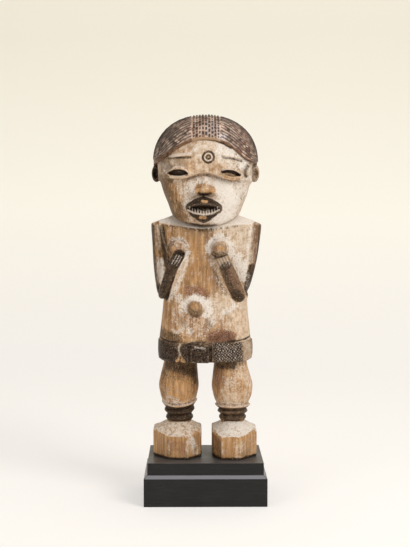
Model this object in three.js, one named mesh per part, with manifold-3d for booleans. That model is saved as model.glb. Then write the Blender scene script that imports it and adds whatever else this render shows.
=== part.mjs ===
// A carved wooden standing figure that rests on its stepped black wooden plinth.
// Millimetres, +Z up. The origin is the middle of the plinth's underside and the figure faces -Y.
// Left and right are as seen from the front, so left is -X.
import * as THREE from "three";
import { mergeVertices } from "three/addons/utils/BufferGeometryUtils.js";
import Module from "manifold-3d";

const wasm = await Module();
wasm.setup();

// Driving dimensions of the plinth
const PLINTH = { width: 141, depth: 113, wall: 32, chamfer: 4, height: 49.6 };

// Driving heights of the figure, from the plinth's top up
const SOLE = PLINTH.height + 0.3;
const ANKLE = 90;
const KNEE = 111;
const HEM = 163;
const WAIST = 187;
const SHOULDER = 321;
const NECK = 332;
const CROWN = 450;

const WOOD = new THREE.MeshStandardMaterial({ color: 0xb08a63, roughness: 0.75, metalness: 0 });
const BLACK_WOOD = new THREE.MeshStandardMaterial({ color: 0x24221f, roughness: 0.45, metalness: 0 });

// A three.js geometry as a solid that can be joined and cut.
function solid(geometry) {
  const bare = new THREE.BufferGeometry();
  bare.setAttribute("position", geometry.getAttribute("position"));
  if (geometry.index) bare.setIndex(geometry.index);
  const merged = mergeVertices(bare, 1e-4);
  return new wasm.Manifold(
    new wasm.Mesh({
      numProp: 3,
      vertProperties: new Float32Array(merged.attributes.position.array),
      triVerts: new Uint32Array(merged.index.array),
    }),
  );
}

// A solid as a three.js geometry.
function geometryOf(made) {
  const mesh = made.getMesh();
  const geometry = new THREE.BufferGeometry();
  geometry.setAttribute("position", new THREE.BufferAttribute(mesh.vertProperties, 3));
  geometry.setIndex(new THREE.BufferAttribute(mesh.triVerts, 1));
  geometry.computeVertexNormals();
  return geometry;
}

const join = (...solids) => solids.reduce((a, b) => a.add(b));

// A closed skin over rings of points that run anticlockwise about the way they advance.
function loft(rings) {
  const count = rings[0].length;
  const middle = (ring) =>
    ring.reduce((sum, p) => sum.add(p), new THREE.Vector3()).divideScalar(count);
  const points = [...rings.flat(), middle(rings[0]), middle(rings.at(-1))];
  const first = points.length - 2;
  const last = points.length - 1;
  const index = [];
  for (let i = 0; i < count; i++) {
    const next = (i + 1) % count;
    const top = (rings.length - 1) * count;
    for (let row = 0; row < top; row += count) {
      index.push(row + i, row + next, row + count + next);
      index.push(row + i, row + count + next, row + count + i);
    }
    index.push(first, next, i, last, top + i, top + next);
  }
  const geometry = new THREE.BufferGeometry().setFromPoints(points);
  geometry.setIndex(index);
  return solid(geometry);
}

// Key sections, each a set of named values, with smooth sections between them.
function smooth(keys, perGap) {
  const along = (name, u) =>
    new THREE.SplineCurve(keys.map((key, i) => new THREE.Vector2(i, key[name]))).getPoint(u).y;
  const rows = (keys.length - 1) * perGap;
  return Array.from({ length: rows + 1 }, (_, i) => {
    const names = Object.keys(keys[0]);
    return Object.fromEntries(names.map((name) => [name, along(name, i / rows)]));
  });
}

// Turns round a superellipse: square 2 is an ellipse, more is squarer and less is more pointed.
function turn(index, count, square, phase = 0) {
  const angle = ((index + phase) / count) * 2 * Math.PI;
  const bend = (v) => Math.sign(v) * Math.abs(v) ** (2 / square);
  return [bend(Math.cos(angle)), bend(Math.sin(angle))];
}

// A level ring of a body, from where it reaches on each side. lift raises or lowers its points.
function levelRing({ z, left, right, front, back, square = 2 }, count, lift = () => 0) {
  return Array.from({ length: count }, (_, i) => {
    const [u, v] = turn(i, count, square);
    const x = (left + right) / 2 + ((right - left) / 2) * u;
    const y = (front + back) / 2 + ((back - front) / 2) * v;
    return new THREE.Vector3(x, y, z + lift(x, y));
  });
}

// An upright ring that faces the front. It may be shallower below its middle than above it.
function frontRing({ x = 0, y, z, half, up, down = up, square = 2 }, count) {
  return Array.from({ length: count }, (_, i) => {
    const [u, v] = turn(i, count, square);
    return new THREE.Vector3(x + half * u, y, z + (v > 0 ? up : down) * v);
  });
}

const body = (keys, count) => loft(keys.map((key) => levelRing(key, count)));
const facing = (rings, count) => loft(rings.map((ring) => frontRing(ring, count)));

// A turned form with its axis placed and pointed: profile runs from the axis and back to it.
function turned(profile, count, place, axis) {
  const geometry = new THREE.LatheGeometry(
    profile.map(([radius, height]) => new THREE.Vector2(radius, height)),
    count,
  );
  const up = new THREE.Vector3(0, 1, 0);
  const pose = new THREE.Quaternion().setFromUnitVectors(up, axis.clone().normalize());
  geometry.applyQuaternion(pose).translate(place.x, place.y, place.z);
  return solid(geometry);
}

// A flat outline in the front view, drawn as x and z, that runs from one depth to another.
function sawn(outline, from, to) {
  const geometry = new THREE.ExtrudeGeometry(new THREE.Shape(outline), {
    depth: to - from,
    bevelEnabled: false,
  });
  geometry.rotateX(Math.PI / 2).translate(0, to, 0);
  return solid(geometry);
}

const at = (x, y, z) => new THREE.Vector3(x, y, z);
const towardsFront = at(0, -1, 0);

// The plinth: a block with a chamfer up to its narrower top tier
function plinth() {
  const { width, depth, wall, chamfer, height } = PLINTH;
  const tier = (z, inset) => [
    at(width / 2 - inset, depth / 2 - inset, z),
    at(inset - width / 2, depth / 2 - inset, z),
    at(inset - width / 2, inset - depth / 2, z),
    at(width / 2 - inset, inset - depth / 2, z),
  ];
  return loft([tier(0, 0), tier(wall, 0), tier(wall + chamfer, chamfer), tier(height, chamfer)]);
}

// A foot: an eight-sided block whose top slopes up to the ankle. Each corner has an x, a y and
// the height of the block's edge there, and the sole and the edge are a little worn.
function foot(corners, ankle) {
  const worn = 0.06;
  const plan = corners.flatMap(([x, y, top], i) => {
    const [nextX, nextY, nextTop] = corners[(i + 1) % corners.length];
    return [
      { x, y, top },
      { x: (x + nextX) / 2, y: (y + nextY) / 2, top: (top + nextTop) / 2 },
    ];
  });
  const towards = ({ x, y }, share, z) => {
    const out = new THREE.Vector2(x - ankle.x, y - ankle.y);
    const round = out.clone().setLength(ankle.radius);
    const point = out.lerp(round, share);
    return at(ankle.x + point.x, ankle.y + point.y, z);
  };
  return loft([
    plan.map((p) => towards(p, worn, SOLE)),
    plan.map((p) => towards(p, 0, SOLE + 3)),
    plan.map((p) => towards(p, 0, p.top - 1.5)),
    plan.map((p) => towards(p, worn, p.top)),
    plan.map((p) => towards(p, 0.55, p.top + 0.66 * (ANKLE - p.top))),
    plan.map((p) => towards(p, 1, ANKLE)),
  ]);
}

// Three carved rings round the ankle, the highest one a collar that flares round the leg
function ankleRings({ x, y }) {
  const profile = [
    [0, ANKLE - 4],
    [13.6, ANKLE - 4],
    [14.2, ANKLE + 0.5],
    [16.1, ANKLE + 3.5],
    [15.6, ANKLE + 6.6],
    [14.4, ANKLE + 8],
    [17.9, ANKLE + 12],
    [17.2, ANKLE + 15.4],
    [15.8, ANKLE + 16.6],
    [20.9, KNEE],
    [19.8, KNEE + 1.4],
    [17, KNEE - 0.4],
    [0, KNEE - 1],
  ];
  return turned(profile, 14, at(x, y, 0), at(0, 0, 1));
}

// A leg: the bulging calf in its ankle collar, over the foot
const leg = ({ ankle, corners, calf }) =>
  join(foot(corners, ankle), ankleRings(ankle), body(calf, 16));

const LEFT_LEG = {
  ankle: { x: -30.2, y: 1, radius: 14 },
  corners: [
    [-59.5, -6, 79.5],
    [-43, -28.5, 76.6],
    [-20.5, -33, 76],
    [-4.5, -13, 79.5],
    [-4.5, 25, 82],
    [-15, 36, 82],
    [-47, 36, 82],
    [-59.5, 24, 81],
  ],
  calf: [
    { z: 107, left: -47, right: -13.5, front: -15, back: 17 },
    { z: 114, left: -50.4, right: -11.2, front: -19, back: 22 },
    { z: 122, left: -52.8, right: -9.2, front: -22.5, back: 25 },
    { z: 132, left: -54.5, right: -7.4, front: -24, back: 27 },
    { z: 143, left: -52.6, right: -8.1, front: -23, back: 27 },
    { z: 155, left: -49.6, right: -9, front: -21, back: 27 },
    { z: 170, left: -47, right: -9.6, front: -20, back: 27 },
  ],
};

const RIGHT_LEG = {
  ankle: { x: 32.4, y: 1, radius: 14 },
  corners: [
    [8.2, -15, 79],
    [18.4, -34, 76.4],
    [40, -35.5, 77],
    [60, -11, 79],
    [60, 24, 81],
    [49, 36, 82],
    [19, 36, 82],
    [8.2, 25, 82],
  ],
  calf: [
    { z: 107, left: 15.5, right: 49, front: -15, back: 17 },
    { z: 114, left: 11.8, right: 53, front: -19, back: 22 },
    { z: 122, left: 9.2, right: 56.2, front: -22.5, back: 25 },
    { z: 132, left: 7.7, right: 57.2, front: -24, back: 27 },
    { z: 143, left: 8.7, right: 54.9, front: -23, back: 27 },
    { z: 155, left: 10.3, right: 51.2, front: -21, back: 27 },
    { z: 170, left: 11.4, right: 48, front: -20, back: 27 },
  ],
};

// The carved waistband: upright cuts, a raised panel with a worn tab, and a step above the legs
function waistband() {
  const band = loft(
    [
      { z: HEM, left: -50.5, right: 50.5, front: -36.5, back: 34, square: 2.6 },
      { z: HEM + 4, left: -56, right: 56, front: -38.2, back: 37, square: 2.6 },
      { z: HEM + 12, left: -56.3, right: 56, front: -38.3, back: 37.3, square: 2.6 },
      { z: WAIST - 0.8, left: -55.6, right: 55, front: -37.4, back: 36.6, square: 2.6 },
      { z: WAIST, left: -54.6, right: 54, front: -36.6, back: 35.8, square: 2.6 },
    ].map((key) => levelRing(key, 32)),
  );
  const block = (left, right, bottom, top, front, back) =>
    sawn(
      [
        [left, bottom],
        [right, bottom],
        [right, top],
        [left, top],
      ].map(([x, z]) => new THREE.Vector2(x, z)),
      front,
      back,
    );
  const panel = block(-16.4, 3.4, HEM, WAIST - 7, -39.3, -30);
  const tab = facing(
    [
      { x: -6.8, y: -30, z: WAIST - 4.4, half: 10.4, up: 2.8, square: 1.5 },
      { x: -6.8, y: -40.4, z: WAIST - 4.4, half: 9.4, up: 2, square: 1.5 },
    ],
    12,
  );
  const cut = (x) => block(x - 0.7, x + 0.7, HEM - 2, WAIST - 1.6, -50, -36.4);
  const cuts = [-29, -17.4, 4.4].map(cut);
  return cuts.reduce((rest, gap) => rest.subtract(gap), join(band, panel)).add(tab);
}

// The trunk from the waist to the shoulder shelf, whose front edge dips towards the middle
function trunk() {
  const keys = [
    { z: WAIST - 6, left: -54.5, right: 54, front: -36, back: 35, square: 2.6 },
    { z: 203, left: -52.9, right: 52.7, front: -38.5, back: 34, square: 2.6 },
    { z: 222, left: -50.7, right: 50.6, front: -39.4, back: 32, square: 2.7 },
    { z: 242, left: -48.8, right: 49.6, front: -38, back: 31, square: 2.9 },
    { z: 264, left: -48, right: 50, front: -36, back: 31.4, square: 3.2 },
    { z: 288, left: -49.2, right: 51.4, front: -34.8, back: 32.5, square: 3.5 },
    { z: 309, left: -52.2, right: 53.4, front: -34.2, back: 32, square: 3.6 },
  ];
  const sides = keys.map((key) => levelRing(key, 32));
  const bust = (x) => -3 - 6 / (1 + ((x + 4) / 14) ** 2);
  const dip = (x, y) => (y < 0 ? bust(x) * Math.min(1, -y / 30) : 0);
  const edge = { z: SHOULDER + 3.4, left: -54, right: 55, front: -34, back: 31, square: 3.6 };
  const shelf = [
    levelRing(edge, 32, dip),
    levelRing({ z: NECK - 1.6, left: -44, right: 45.5, front: -20, back: 24, square: 3 }, 32),
    levelRing({ z: NECK + 2, left: -36, right: 38, front: -8, back: 14, square: 2.6 }, 32),
  ];
  return loft([...sides, ...shelf]);
}

// The wood left standing between each upper arm and the trunk
function flanks() {
  return body(
    [
      { z: 239, left: -49, right: 46, front: -12, back: 8, square: 4 },
      { z: 262, left: -54, right: 53, front: -17, back: 12, square: 4 },
      { z: 300, left: -57, right: 59, front: -19, back: 14, square: 4 },
      { z: SHOULDER, left: -57, right: 60, front: -20, back: 15, square: 4 },
    ],
    16,
  );
}

// Everything below the line of the shoulders, which trims the tops of the arms
function belowShoulders() {
  const line = [
    [-80, 220],
    [80, 220],
    [80, SHOULDER + 0.4],
    [66.4, SHOULDER + 0.4],
    [60, SHOULDER + 2.4],
    [45, NECK - 1.4],
    [-44, NECK - 1.4],
    [-60, SHOULDER + 3],
    [-64.8, SHOULDER + 1],
    [-80, SHOULDER + 1],
  ];
  return sawn(line.map(([x, z]) => new THREE.Vector2(x, z)), -60, 60);
}

// A limb that is carved against the body: squared sections placed along its way from the elbow
function limb(perGap, stations) {
  const count = 10;
  const rows = smooth(stations, perGap);
  const rings = rows.map((row, i) => {
    const before = rows[Math.max(0, i - 1)];
    const after = rows[Math.min(rows.length - 1, i + 1)];
    const way = at(after.x - before.x, after.y - before.y, after.z - before.z).normalize();
    const side = at(0, -1, 0).cross(way).normalize();
    const out = way.clone().cross(side);
    return Array.from({ length: count }, (_, k) => {
      const [u, v] = turn(k, count, row.square, 0.5);
      return at(row.x, row.y, row.z)
        .addScaledVector(side, row.wide * u)
        .addScaledVector(out, row.deep * v);
    });
  });
  return loft(rings);
}

// The finger lines of a hand, cut side by side along the way the hand points
function fingerCuts(place, lean, pitch) {
  return [-1, 0, 1].map((step) => {
    const geometry = new THREE.BoxGeometry(0.9, 6, 11);
    geometry.translate(step * pitch, 0, 0).rotateY(lean);
    geometry.translate(place.x, place.y, place.z);
    return solid(geometry);
  });
}

function leftArm() {
  const upper = limb(1, [
    { x: -50, y: -9, z: 235, wide: 4.6, deep: 8, square: 2.2 },
    { x: -52, y: -8, z: 241, wide: 5.5, deep: 10, square: 2.4 },
    { x: -53.4, y: -5, z: 252, wide: 5.8, deep: 13, square: 2.8 },
    { x: -56, y: -3, z: 279, wide: 6.2, deep: 15.6, square: 3.4 },
    { x: -57.2, y: -2, z: 302, wide: 6.5, deep: 18, square: 3.6 },
    { x: -57.8, y: -2, z: 319, wide: 6.7, deep: 20, square: 3.6 },
    { x: -57.8, y: -2, z: 334, wide: 6.7, deep: 20, square: 3.6 },
  ]).intersect(belowShoulders());
  const fore = limb(2, [
    { x: -51.4, y: -10, z: 236.5, wide: 4, deep: 6.4, square: 2.2 },
    { x: -50.2, y: -20, z: 240, wide: 5.8, deep: 8.4, square: 2.4 },
    { x: -46, y: -32.5, z: 252, wide: 6.4, deep: 7.6, square: 2.8 },
    { x: -40.2, y: -38.4, z: 266.3, wide: 6.8, deep: 6.6, square: 2.8 },
    { x: -35.6, y: -39.4, z: 276, wide: 7, deep: 6, square: 2.6 },
    { x: -31.8, y: -38.2, z: 286, wide: 6.6, deep: 4.4, square: 2.2 },
  ]);
  const fingers = fingerCuts(at(-33, -46.6, 280.5), 0.5, 3);
  return join(upper, fingers.reduce((rest, cut) => rest.subtract(cut), fore));
}

function rightArm() {
  const upper = limb(1, [
    { x: 44.8, y: -9, z: 236, wide: 4.6, deep: 8, square: 2.2 },
    { x: 46.4, y: -8, z: 243, wide: 5, deep: 10, square: 2.4 },
    { x: 49, y: -5, z: 252, wide: 5.3, deep: 13, square: 2.8 },
    { x: 55.4, y: -3, z: 279, wide: 5.8, deep: 15.6, square: 3.4 },
    { x: 59.3, y: -2, z: 308, wide: 6, deep: 18.6, square: 3.6 },
    { x: 60.2, y: -2, z: 319, wide: 6, deep: 20, square: 3.6 },
    { x: 60.2, y: -2, z: 334, wide: 6, deep: 20, square: 3.6 },
  ]).intersect(belowShoulders());
  const fore = limb(2, [
    { x: 46, y: -10, z: 238.5, wide: 4.6, deep: 6.4, square: 2.2 },
    { x: 41.4, y: -22, z: 238.5, wide: 7.2, deep: 8.2, square: 2.4 },
    { x: 35.6, y: -34, z: 247, wide: 7.8, deep: 7.6, square: 2.8 },
    { x: 28.3, y: -38.8, z: 260.6, wide: 8.2, deep: 6.8, square: 2.8 },
    { x: 22.4, y: -39.8, z: 273, wide: 8.6, deep: 6, square: 2.6 },
    { x: 18.8, y: -38.6, z: 283, wide: 8.6, deep: 4.4, square: 2.2 },
  ]);
  const fingers = fingerCuts(at(19.2, -46.8, 279.4), -0.47, 3.2);
  return join(upper, fingers.reduce((rest, cut) => rest.subtract(cut), fore));
}

// A breast or navel: a rounded cone with a small worn nub at its tip
function boss(place, axis, radius, reach, nub) {
  const profile = [
    [0, -8],
    [radius * 0.95, -8],
    [radius, 0],
    [radius * 0.93, reach * 0.42],
    [radius * 0.64, reach * 0.7],
    [nub, reach * 0.88],
    [nub * 0.7, reach * 1.02],
    [0, reach * 1.08],
  ];
  return turned(profile, 10, place, axis);
}

// The head below the forehead: it widens from the jaw, whose underside rises towards the sides
function lowerHead() {
  const jaw = (x) => 10.5 * (x / 36) ** 2;
  const chin = [
    levelRing({ z: 319, left: -31, right: 31.5, front: -43, back: 24, square: 2.3 }, 30, jaw),
    levelRing({ z: 320.4, left: -35.6, right: 36.2, front: -47.6, back: 27, square: 2.3 }, 30, jaw),
  ];
  const cheeks = [
    { z: 334, left: -39.2, right: 40.2, front: -50.5, back: 34, square: 2.4 },
    { z: 346, left: -43.2, right: 44.8, front: -50.5, back: 41, square: 2.6 },
    { z: 360, left: -49.6, right: 51.2, front: -49.5, back: 48, square: 2.6 },
    { z: 372, left: -54.2, right: 55.4, front: -48.5, back: 52, square: 2.6 },
    { z: 390, left: -56.5, right: 57.5, front: -47, back: 54, square: 2.5 },
  ];
  return loft([...chin, ...cheeks.map((key) => levelRing(key, 30))]);
}

// The visor of the forehead, and how far forward its surface stands at a place in the front view
const VISOR = [
  { z: 362, left: -52, right: 53, front: -52.5, back: 30, square: 2.6 },
  { z: 372, left: -55.4, right: 56.4, front: -55, back: 34, square: 2.6 },
  { z: 384, left: -57.6, right: 58.6, front: -56.3, back: 38, square: 2.6 },
  { z: 398, left: -58, right: 58.8, front: -55.8, back: 40, square: 2.5 },
  { z: 412, left: -55, right: 55.6, front: -52.6, back: 40, square: 2.4 },
  { z: 426, left: -46, right: 46, front: -45, back: 36, square: 2.3 },
];

function visorDepth(x, z) {
  const above = VISOR.findIndex((key) => key.z > z);
  const [low, high] = [VISOR[above - 1], VISOR[above]];
  const share = (z - low.z) / (high.z - low.z);
  const value = (name) => low[name] + (high[name] - low[name]) * share;
  const across = (x - (value("left") + value("right")) / 2) / ((value("right") - value("left")) / 2);
  const bulge = (1 - Math.abs(across) ** value("square")) ** (1 / value("square"));
  return (value("front") + value("back")) / 2 - ((value("back") - value("front")) / 2) * bulge;
}

// A feature that lies on the visor: its rings stand out from, or sink below, the surface
function onVisor(rings, count) {
  return loft(
    rings.map((ring) =>
      frontRing({ y: 0, ...ring }, count).map((p) => at(p.x, visorDepth(p.x, p.z) - ring.out, p.z)),
    ),
  );
}

// The forehead stands over the cheeks like a visor whose lower edge is two shallow bows
function forehead() {
  const whole = body(VISOR, 30);
  const brow = new THREE.Shape();
  brow.moveTo(-70, 372);
  brow.lineTo(-41, 374.6);
  brow.bezierCurveTo(-30, 372.4, -22, 374, -13, 376.6);
  brow.bezierCurveTo(-6, 380.4, 5, 380.4, 9, 377.4);
  brow.bezierCurveTo(18, 373.6, 26, 371.4, 34, 371.2);
  brow.lineTo(70, 373);
  brow.lineTo(70, 440);
  brow.lineTo(-70, 440);
  brow.closePath();
  return whole.intersect(sawn(brow.getPoints(4), -90, 60));
}

// The nose: a bridge that grows from under the visor to a broad round tip
function nose() {
  return body(
    [
      { z: 352.8, left: -8, right: 7.4, front: -60, back: -40 },
      { z: 354.6, left: -12, right: 11.2, front: -64, back: -40 },
      { z: 358.5, left: -13.4, right: 12.4, front: -65, back: -40 },
      { z: 363.5, left: -11.2, right: 10.4, front: -60.5, back: -40 },
      { z: 371, left: -6, right: 5.4, front: -54.5, back: -40 },
      { z: 381, left: -3.5, right: 3, front: -51, back: -40 },
    ],
    16,
  );
}

// The open mouth: two jutting lips that meet in points, parted by a slot with a row of teeth
function mouth() {
  const x = -1.6;
  const z = 341;
  const lips = facing(
    [
      { x, y: -44, z, half: 22, up: 14.5, down: 18, square: 1.5 },
      { x, y: -53, z, half: 20.6, up: 13.2, down: 16.6, square: 1.5 },
      { x, y: -60, z, half: 18, up: 10, down: 12.6, square: 1.5 },
      { x, y: -66, z, half: 14.6, up: 6, down: 8, square: 1.6 },
      { x, y: -68, z, half: 12, up: 3.4, down: 5, square: 1.6 },
    ],
    20,
  );
  const slot = facing(
    [
      { x, y: -56, z: z - 0.8, half: 13, up: 1.8, down: 2, square: 1.6 },
      { x, y: -72, z: z - 0.8, half: 19.4, up: 4.4, down: 3.8, square: 1.6 },
    ],
    16,
  );
  const teeth = 7;
  const pitch = 3.1;
  const row = Array.from({ length: teeth }, (_, i) => {
    const across = i - (teeth - 1) / 2;
    const middle = x + across * pitch;
    const wide = pitch * 0.42;
    return facing(
      [
        { x: middle, y: -54, z: z - 4.8, half: wide, up: 3.4, square: 1.4 },
        { x: middle, y: 0.55 * across ** 2 - 64.5, z: z - 5.2, half: wide, up: 3, square: 1.4 },
      ],
      4,
    );
  });
  return join(lips.subtract(slot), ...row);
}

// The eyes: almond rims on the visor's lower part, each with a deep narrow slit
function eyeRim(x, z) {
  return onVisor(
    [
      { x, z, out: -6, half: 12, up: 5, down: 3.9, square: 1.7 },
      { x, z, out: 1.1, half: 11.2, up: 4.4, down: 3.4, square: 1.7 },
    ],
    16,
  );
}

function eyeSlit(x, z) {
  return onVisor(
    [
      { x, z, out: -5, half: 7, up: 1.6, down: 1.4, square: 1.7 },
      { x, z, out: 4, half: 11, up: 3.5, down: 3, square: 1.7 },
    ],
    12,
  );
}

// Brow marks: a long blade that stands out on the left and a slanting cut on the right
function browBlade() {
  return onVisor(
    [
      { x: -29.6, z: 398.6, out: -4, half: 13.6, up: 2.6, square: 1.6 },
      { x: -29.6, z: 398.6, out: 1.3, half: 12.6, up: 1.7, square: 1.6 },
    ],
    12,
  );
}

function browCut() {
  const [x, z, lean] = [29.5, 396.4, -0.27];
  const ring = (out, half, up) =>
    frontRing({ x, y: 0, z, half, up, square: 1.6 }, 12).map((p) => {
      const height = p.z + lean * (p.x - x);
      return at(p.x, visorDepth(p.x, height) - out, height);
    });
  return loft([ring(-1.6, 9.6, 0.8), ring(3, 11.6, 1.8)]);
}

// The mark on the forehead: raised rings round a middle dot
function foreheadRings() {
  const place = at(3, -56, 396.6);
  return turned(
    [
      [0, -6],
      [6.8, -6],
      [6.8, 0.5],
      [6, 1],
      [5.2, 0],
      [4.4, 0],
      [3.8, 1],
      [3, 0],
      [2, 0],
      [1.5, 1.1],
      [0, 1.2],
    ],
    14,
    place,
    towardsFront,
  );
}

// The ears: small cups under the cap of hair, hollow towards the front
function ear(side, x) {
  const oval = (place, wide, deep, high) => {
    const geometry = new THREE.SphereGeometry(1, 10, 8);
    geometry.scale(wide, deep, high).translate(place.x, place.y, place.z);
    return solid(geometry);
  };
  const cup = oval(at(x, 3, 380.5), 6.6, 7, 10.8);
  return cup.subtract(oval(at(x + side * 0.8, -5, 380), 3.4, 8, 6.8));
}

// How far the cap of hair reaches from its middle, and how full it is at a share of its depth
const HAIR = { x: 0.4, y: 2, z: 391.5, side: 62.2, depth: 58, up: CROWN - 391.5, down: 45 };
const fullness = (share) => (1 - Math.abs(share) ** 2.8) ** (1 / 2.8);

function capRing(share, sunk) {
  const size = fullness(share);
  return {
    x: HAIR.x,
    y: HAIR.y - HAIR.depth * share,
    z: HAIR.z,
    half: HAIR.side * size - sunk,
    up: HAIR.up * size - sunk,
    down: HAIR.down * size - sunk,
    square: 2.2,
  };
}

// The crown line of the cap, seen from the side, moved out or in by some millimetres. It starts
// at the front, level with the middle, and ends a little below the middle at the back.
function crownLine(out, steps) {
  const sweep = Math.PI * 1.08;
  return Array.from({ length: steps + 1 }, (_, i) => {
    const angle = (i / steps) * sweep;
    const share = Math.cos(angle);
    const up = Math.sin(angle) < 0 ? -HAIR.down : HAIR.up;
    const line = new THREE.Vector2(-HAIR.depth * share, up * fullness(share));
    return line.setLength(line.length() + out).add(new THREE.Vector2(HAIR.y, HAIR.z));
  });
}

// A strip that lies over the crown from front to back between two depths and two side limits
function crownStrip(from, to, inner, outer, steps = 12) {
  const outline = [...crownLine(outer, steps), ...crownLine(inner, steps).reverse()];
  const geometry = new THREE.ExtrudeGeometry(new THREE.Shape(outline), {
    depth: to - from,
    bevelEnabled: false,
  });
  const basis = new THREE.Matrix4().makeBasis(at(0, 1, 0), at(0, 0, 1), at(1, 0, 0));
  geometry.applyMatrix4(basis).translate(from, 0, 0);
  return solid(geometry);
}

// The cap of hair: carved rows that run from ear to ear, and ribs over the middle of the head
function hair() {
  const rows = 8;
  const groove = 0.9;
  const end = 0.985;
  const rings = Array.from({ length: 2 * rows + 1 }, (_, i) =>
    capRing(-end * Math.cos((i / (2 * rows)) * Math.PI), i % 2 === 0 ? groove : 0),
  );
  const rowed = facing(rings, 30).subtract(crownStrip(-14.7, 16.3, -1.9, 8));
  const ribs = 6;
  const pitch = 5.1;
  const ribbed = Array.from({ length: ribs }, (_, i) => {
    const from = -14.5 + i * pitch;
    const fall = Math.abs(i - (ribs - 1) / 2) > 2 ? 0.9 : 0.3;
    return crownStrip(from, from + pitch * 0.8, -3.5, -fall);
  });
  const whole = join(rowed, ...ribbed);

  const face = new THREE.Shape();
  face.moveTo(-75, 340);
  face.lineTo(-75, 391.5);
  face.lineTo(-57, 391.5);
  face.bezierCurveTo(-44, 396, -38, 406, -22, 413.5);
  face.bezierCurveTo(-12, 418.4, 6, 420, 18, 415);
  face.bezierCurveTo(34, 408, 42, 396, 54, 390);
  face.lineTo(75, 389);
  face.lineTo(75, 340);
  face.closePath();
  const window = sawn(face.getPoints(4), -90, 0);
  const underEars = new THREE.Shape([
    new THREE.Vector2(-80, 335),
    new THREE.Vector2(80, 335),
    new THREE.Vector2(80, 391),
    new THREE.Vector2(-80, 391),
  ]);
  return whole.subtract(window).subtract(sawn(underEars.getPoints(), -10, 13));
}

function head() {
  const eyes = [
    [-31.4, 379.4],
    [28.2, 379],
  ];
  const face = join(
    lowerHead(),
    forehead(),
    ...eyes.map(([x, z]) => eyeRim(x, z)),
    browBlade(),
    foreheadRings(),
  );
  const cutFace = eyes
    .reduce((rest, [x, z]) => rest.subtract(eyeSlit(x, z)), face)
    .subtract(browCut());
  return join(cutFace, nose(), mouth(), ear(-1, -57), ear(1, 58.5), hair());
}

function figure() {
  const breasts = [
    boss(at(-31.2, -34, 295.2), at(-0.3, -1, -0.03), 9, 17, 2.6),
    boss(at(16.6, -34, 294.6), at(-0.07, -1, 0.04), 10.8, 17.6, 3),
  ];
  const navel = boss(at(-11.9, -36.5, 225.4), at(-0.05, -1, 0.14), 10, 12, 3.6);
  return join(
    leg(LEFT_LEG),
    leg(RIGHT_LEG),
    waistband(),
    trunk(),
    flanks(),
    leftArm(),
    rightArm(),
    ...breasts,
    navel,
    head(),
  );
}

function part(name, made, material) {
  const mesh = new THREE.Mesh(geometryOf(made), material);
  mesh.name = name;
  return mesh;
}

const statue = new THREE.Group();
statue.add(part("carved_figure", figure(), WOOD));
statue.add(part("stepped_plinth", plinth(), BLACK_WOOD));

export default statue;
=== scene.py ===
import math
from functools import partial

import bpy
import numpy as np
import openvdb
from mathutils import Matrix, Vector


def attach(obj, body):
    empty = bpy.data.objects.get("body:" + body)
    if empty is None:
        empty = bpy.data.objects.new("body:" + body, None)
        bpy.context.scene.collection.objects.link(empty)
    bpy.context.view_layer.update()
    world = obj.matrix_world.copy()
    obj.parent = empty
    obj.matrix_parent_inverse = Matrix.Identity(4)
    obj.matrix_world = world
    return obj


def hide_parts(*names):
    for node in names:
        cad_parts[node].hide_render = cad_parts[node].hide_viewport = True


# A carved wooden standing figure on its stepped black wooden plinth. The figure is carved out of
# blocks of distances to the wood's surface, in millimetres, with minus inside the wood. Every
# mesh is in metres. Left and right are as seen from the front, so left is -X.

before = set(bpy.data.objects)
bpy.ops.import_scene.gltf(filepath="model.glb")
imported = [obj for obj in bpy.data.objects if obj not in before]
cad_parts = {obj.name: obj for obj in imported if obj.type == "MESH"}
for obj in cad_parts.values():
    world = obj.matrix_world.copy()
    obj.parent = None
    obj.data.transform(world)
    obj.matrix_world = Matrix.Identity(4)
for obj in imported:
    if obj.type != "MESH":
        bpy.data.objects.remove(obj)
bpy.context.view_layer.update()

MM = 0.001
AIR = 20.0

# Driving sizes in millimetres, from the floor up
PLINTH = {"width": 141, "depth": 113, "wall": 32, "chamfer": 4, "height": 49.6}
SOLE = 49.9
ANKLE = 90
KNEE = 111
HEM = 163
WAIST = 187
SHOULDER = 321
NECK = 332

# How finely each piece is carved: the step of its block and the most triangles it keeps
FINENESS = {
    "head": (0.62, 190000),
    "trunk": (0.75, 190000),
    "waistband": (0.5, 110000),
    "left_leg": (0.65, 90000),
    "right_leg": (0.65, 90000),
}


# Carving tools


def flow(at, keys, values):
    """Smooth values between keys that never swing past them."""
    keys, values = np.asarray(keys, float), np.asarray(values, float)
    gaps = np.diff(keys)
    rises = np.diff(values) / gaps
    slopes = np.zeros_like(values)
    slopes[0], slopes[-1] = rises[0], rises[-1]
    both = rises[:-1] * rises[1:]
    total = np.where(both > 0, rises[:-1] + rises[1:], 1)
    slopes[1:-1] = np.where(both > 0, 2 * both / total, 0)
    at = np.clip(at, keys[0], keys[-1])
    i = np.clip(np.searchsorted(keys, at) - 1, 0, len(gaps) - 1)
    t = (at - keys[i]) / gaps[i]
    eased = t * t * (3 - 2 * t)
    bend = gaps[i] * t * (1 - t) * (slopes[i] * (1 - t) - slopes[i + 1] * t)
    return (values[i] * (1 - eased) + values[i + 1] * eased + bend).astype(np.float32)


def ease(value, start, end):
    """0 before start, 1 after end and a smooth rise between them. start may be above end."""
    t = np.clip((value - start) / (end - start), 0, 1)
    return t * t * (3 - 2 * t)


def ridge(value, width):
    """1 where the value is 0, falling smoothly to almost nothing at twice the width."""
    return np.exp(-((value / width) ** 2))


def join(a, b, soft=0.0):
    """Both solids, with a fillet about as wide as soft where they meet."""
    if np.isscalar(soft) and soft == 0:
        return np.minimum(a, b)
    near = np.clip(1 - np.abs(a - b) / soft, 0, None)
    return np.minimum(a, b) - near * near * soft / 4


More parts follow.
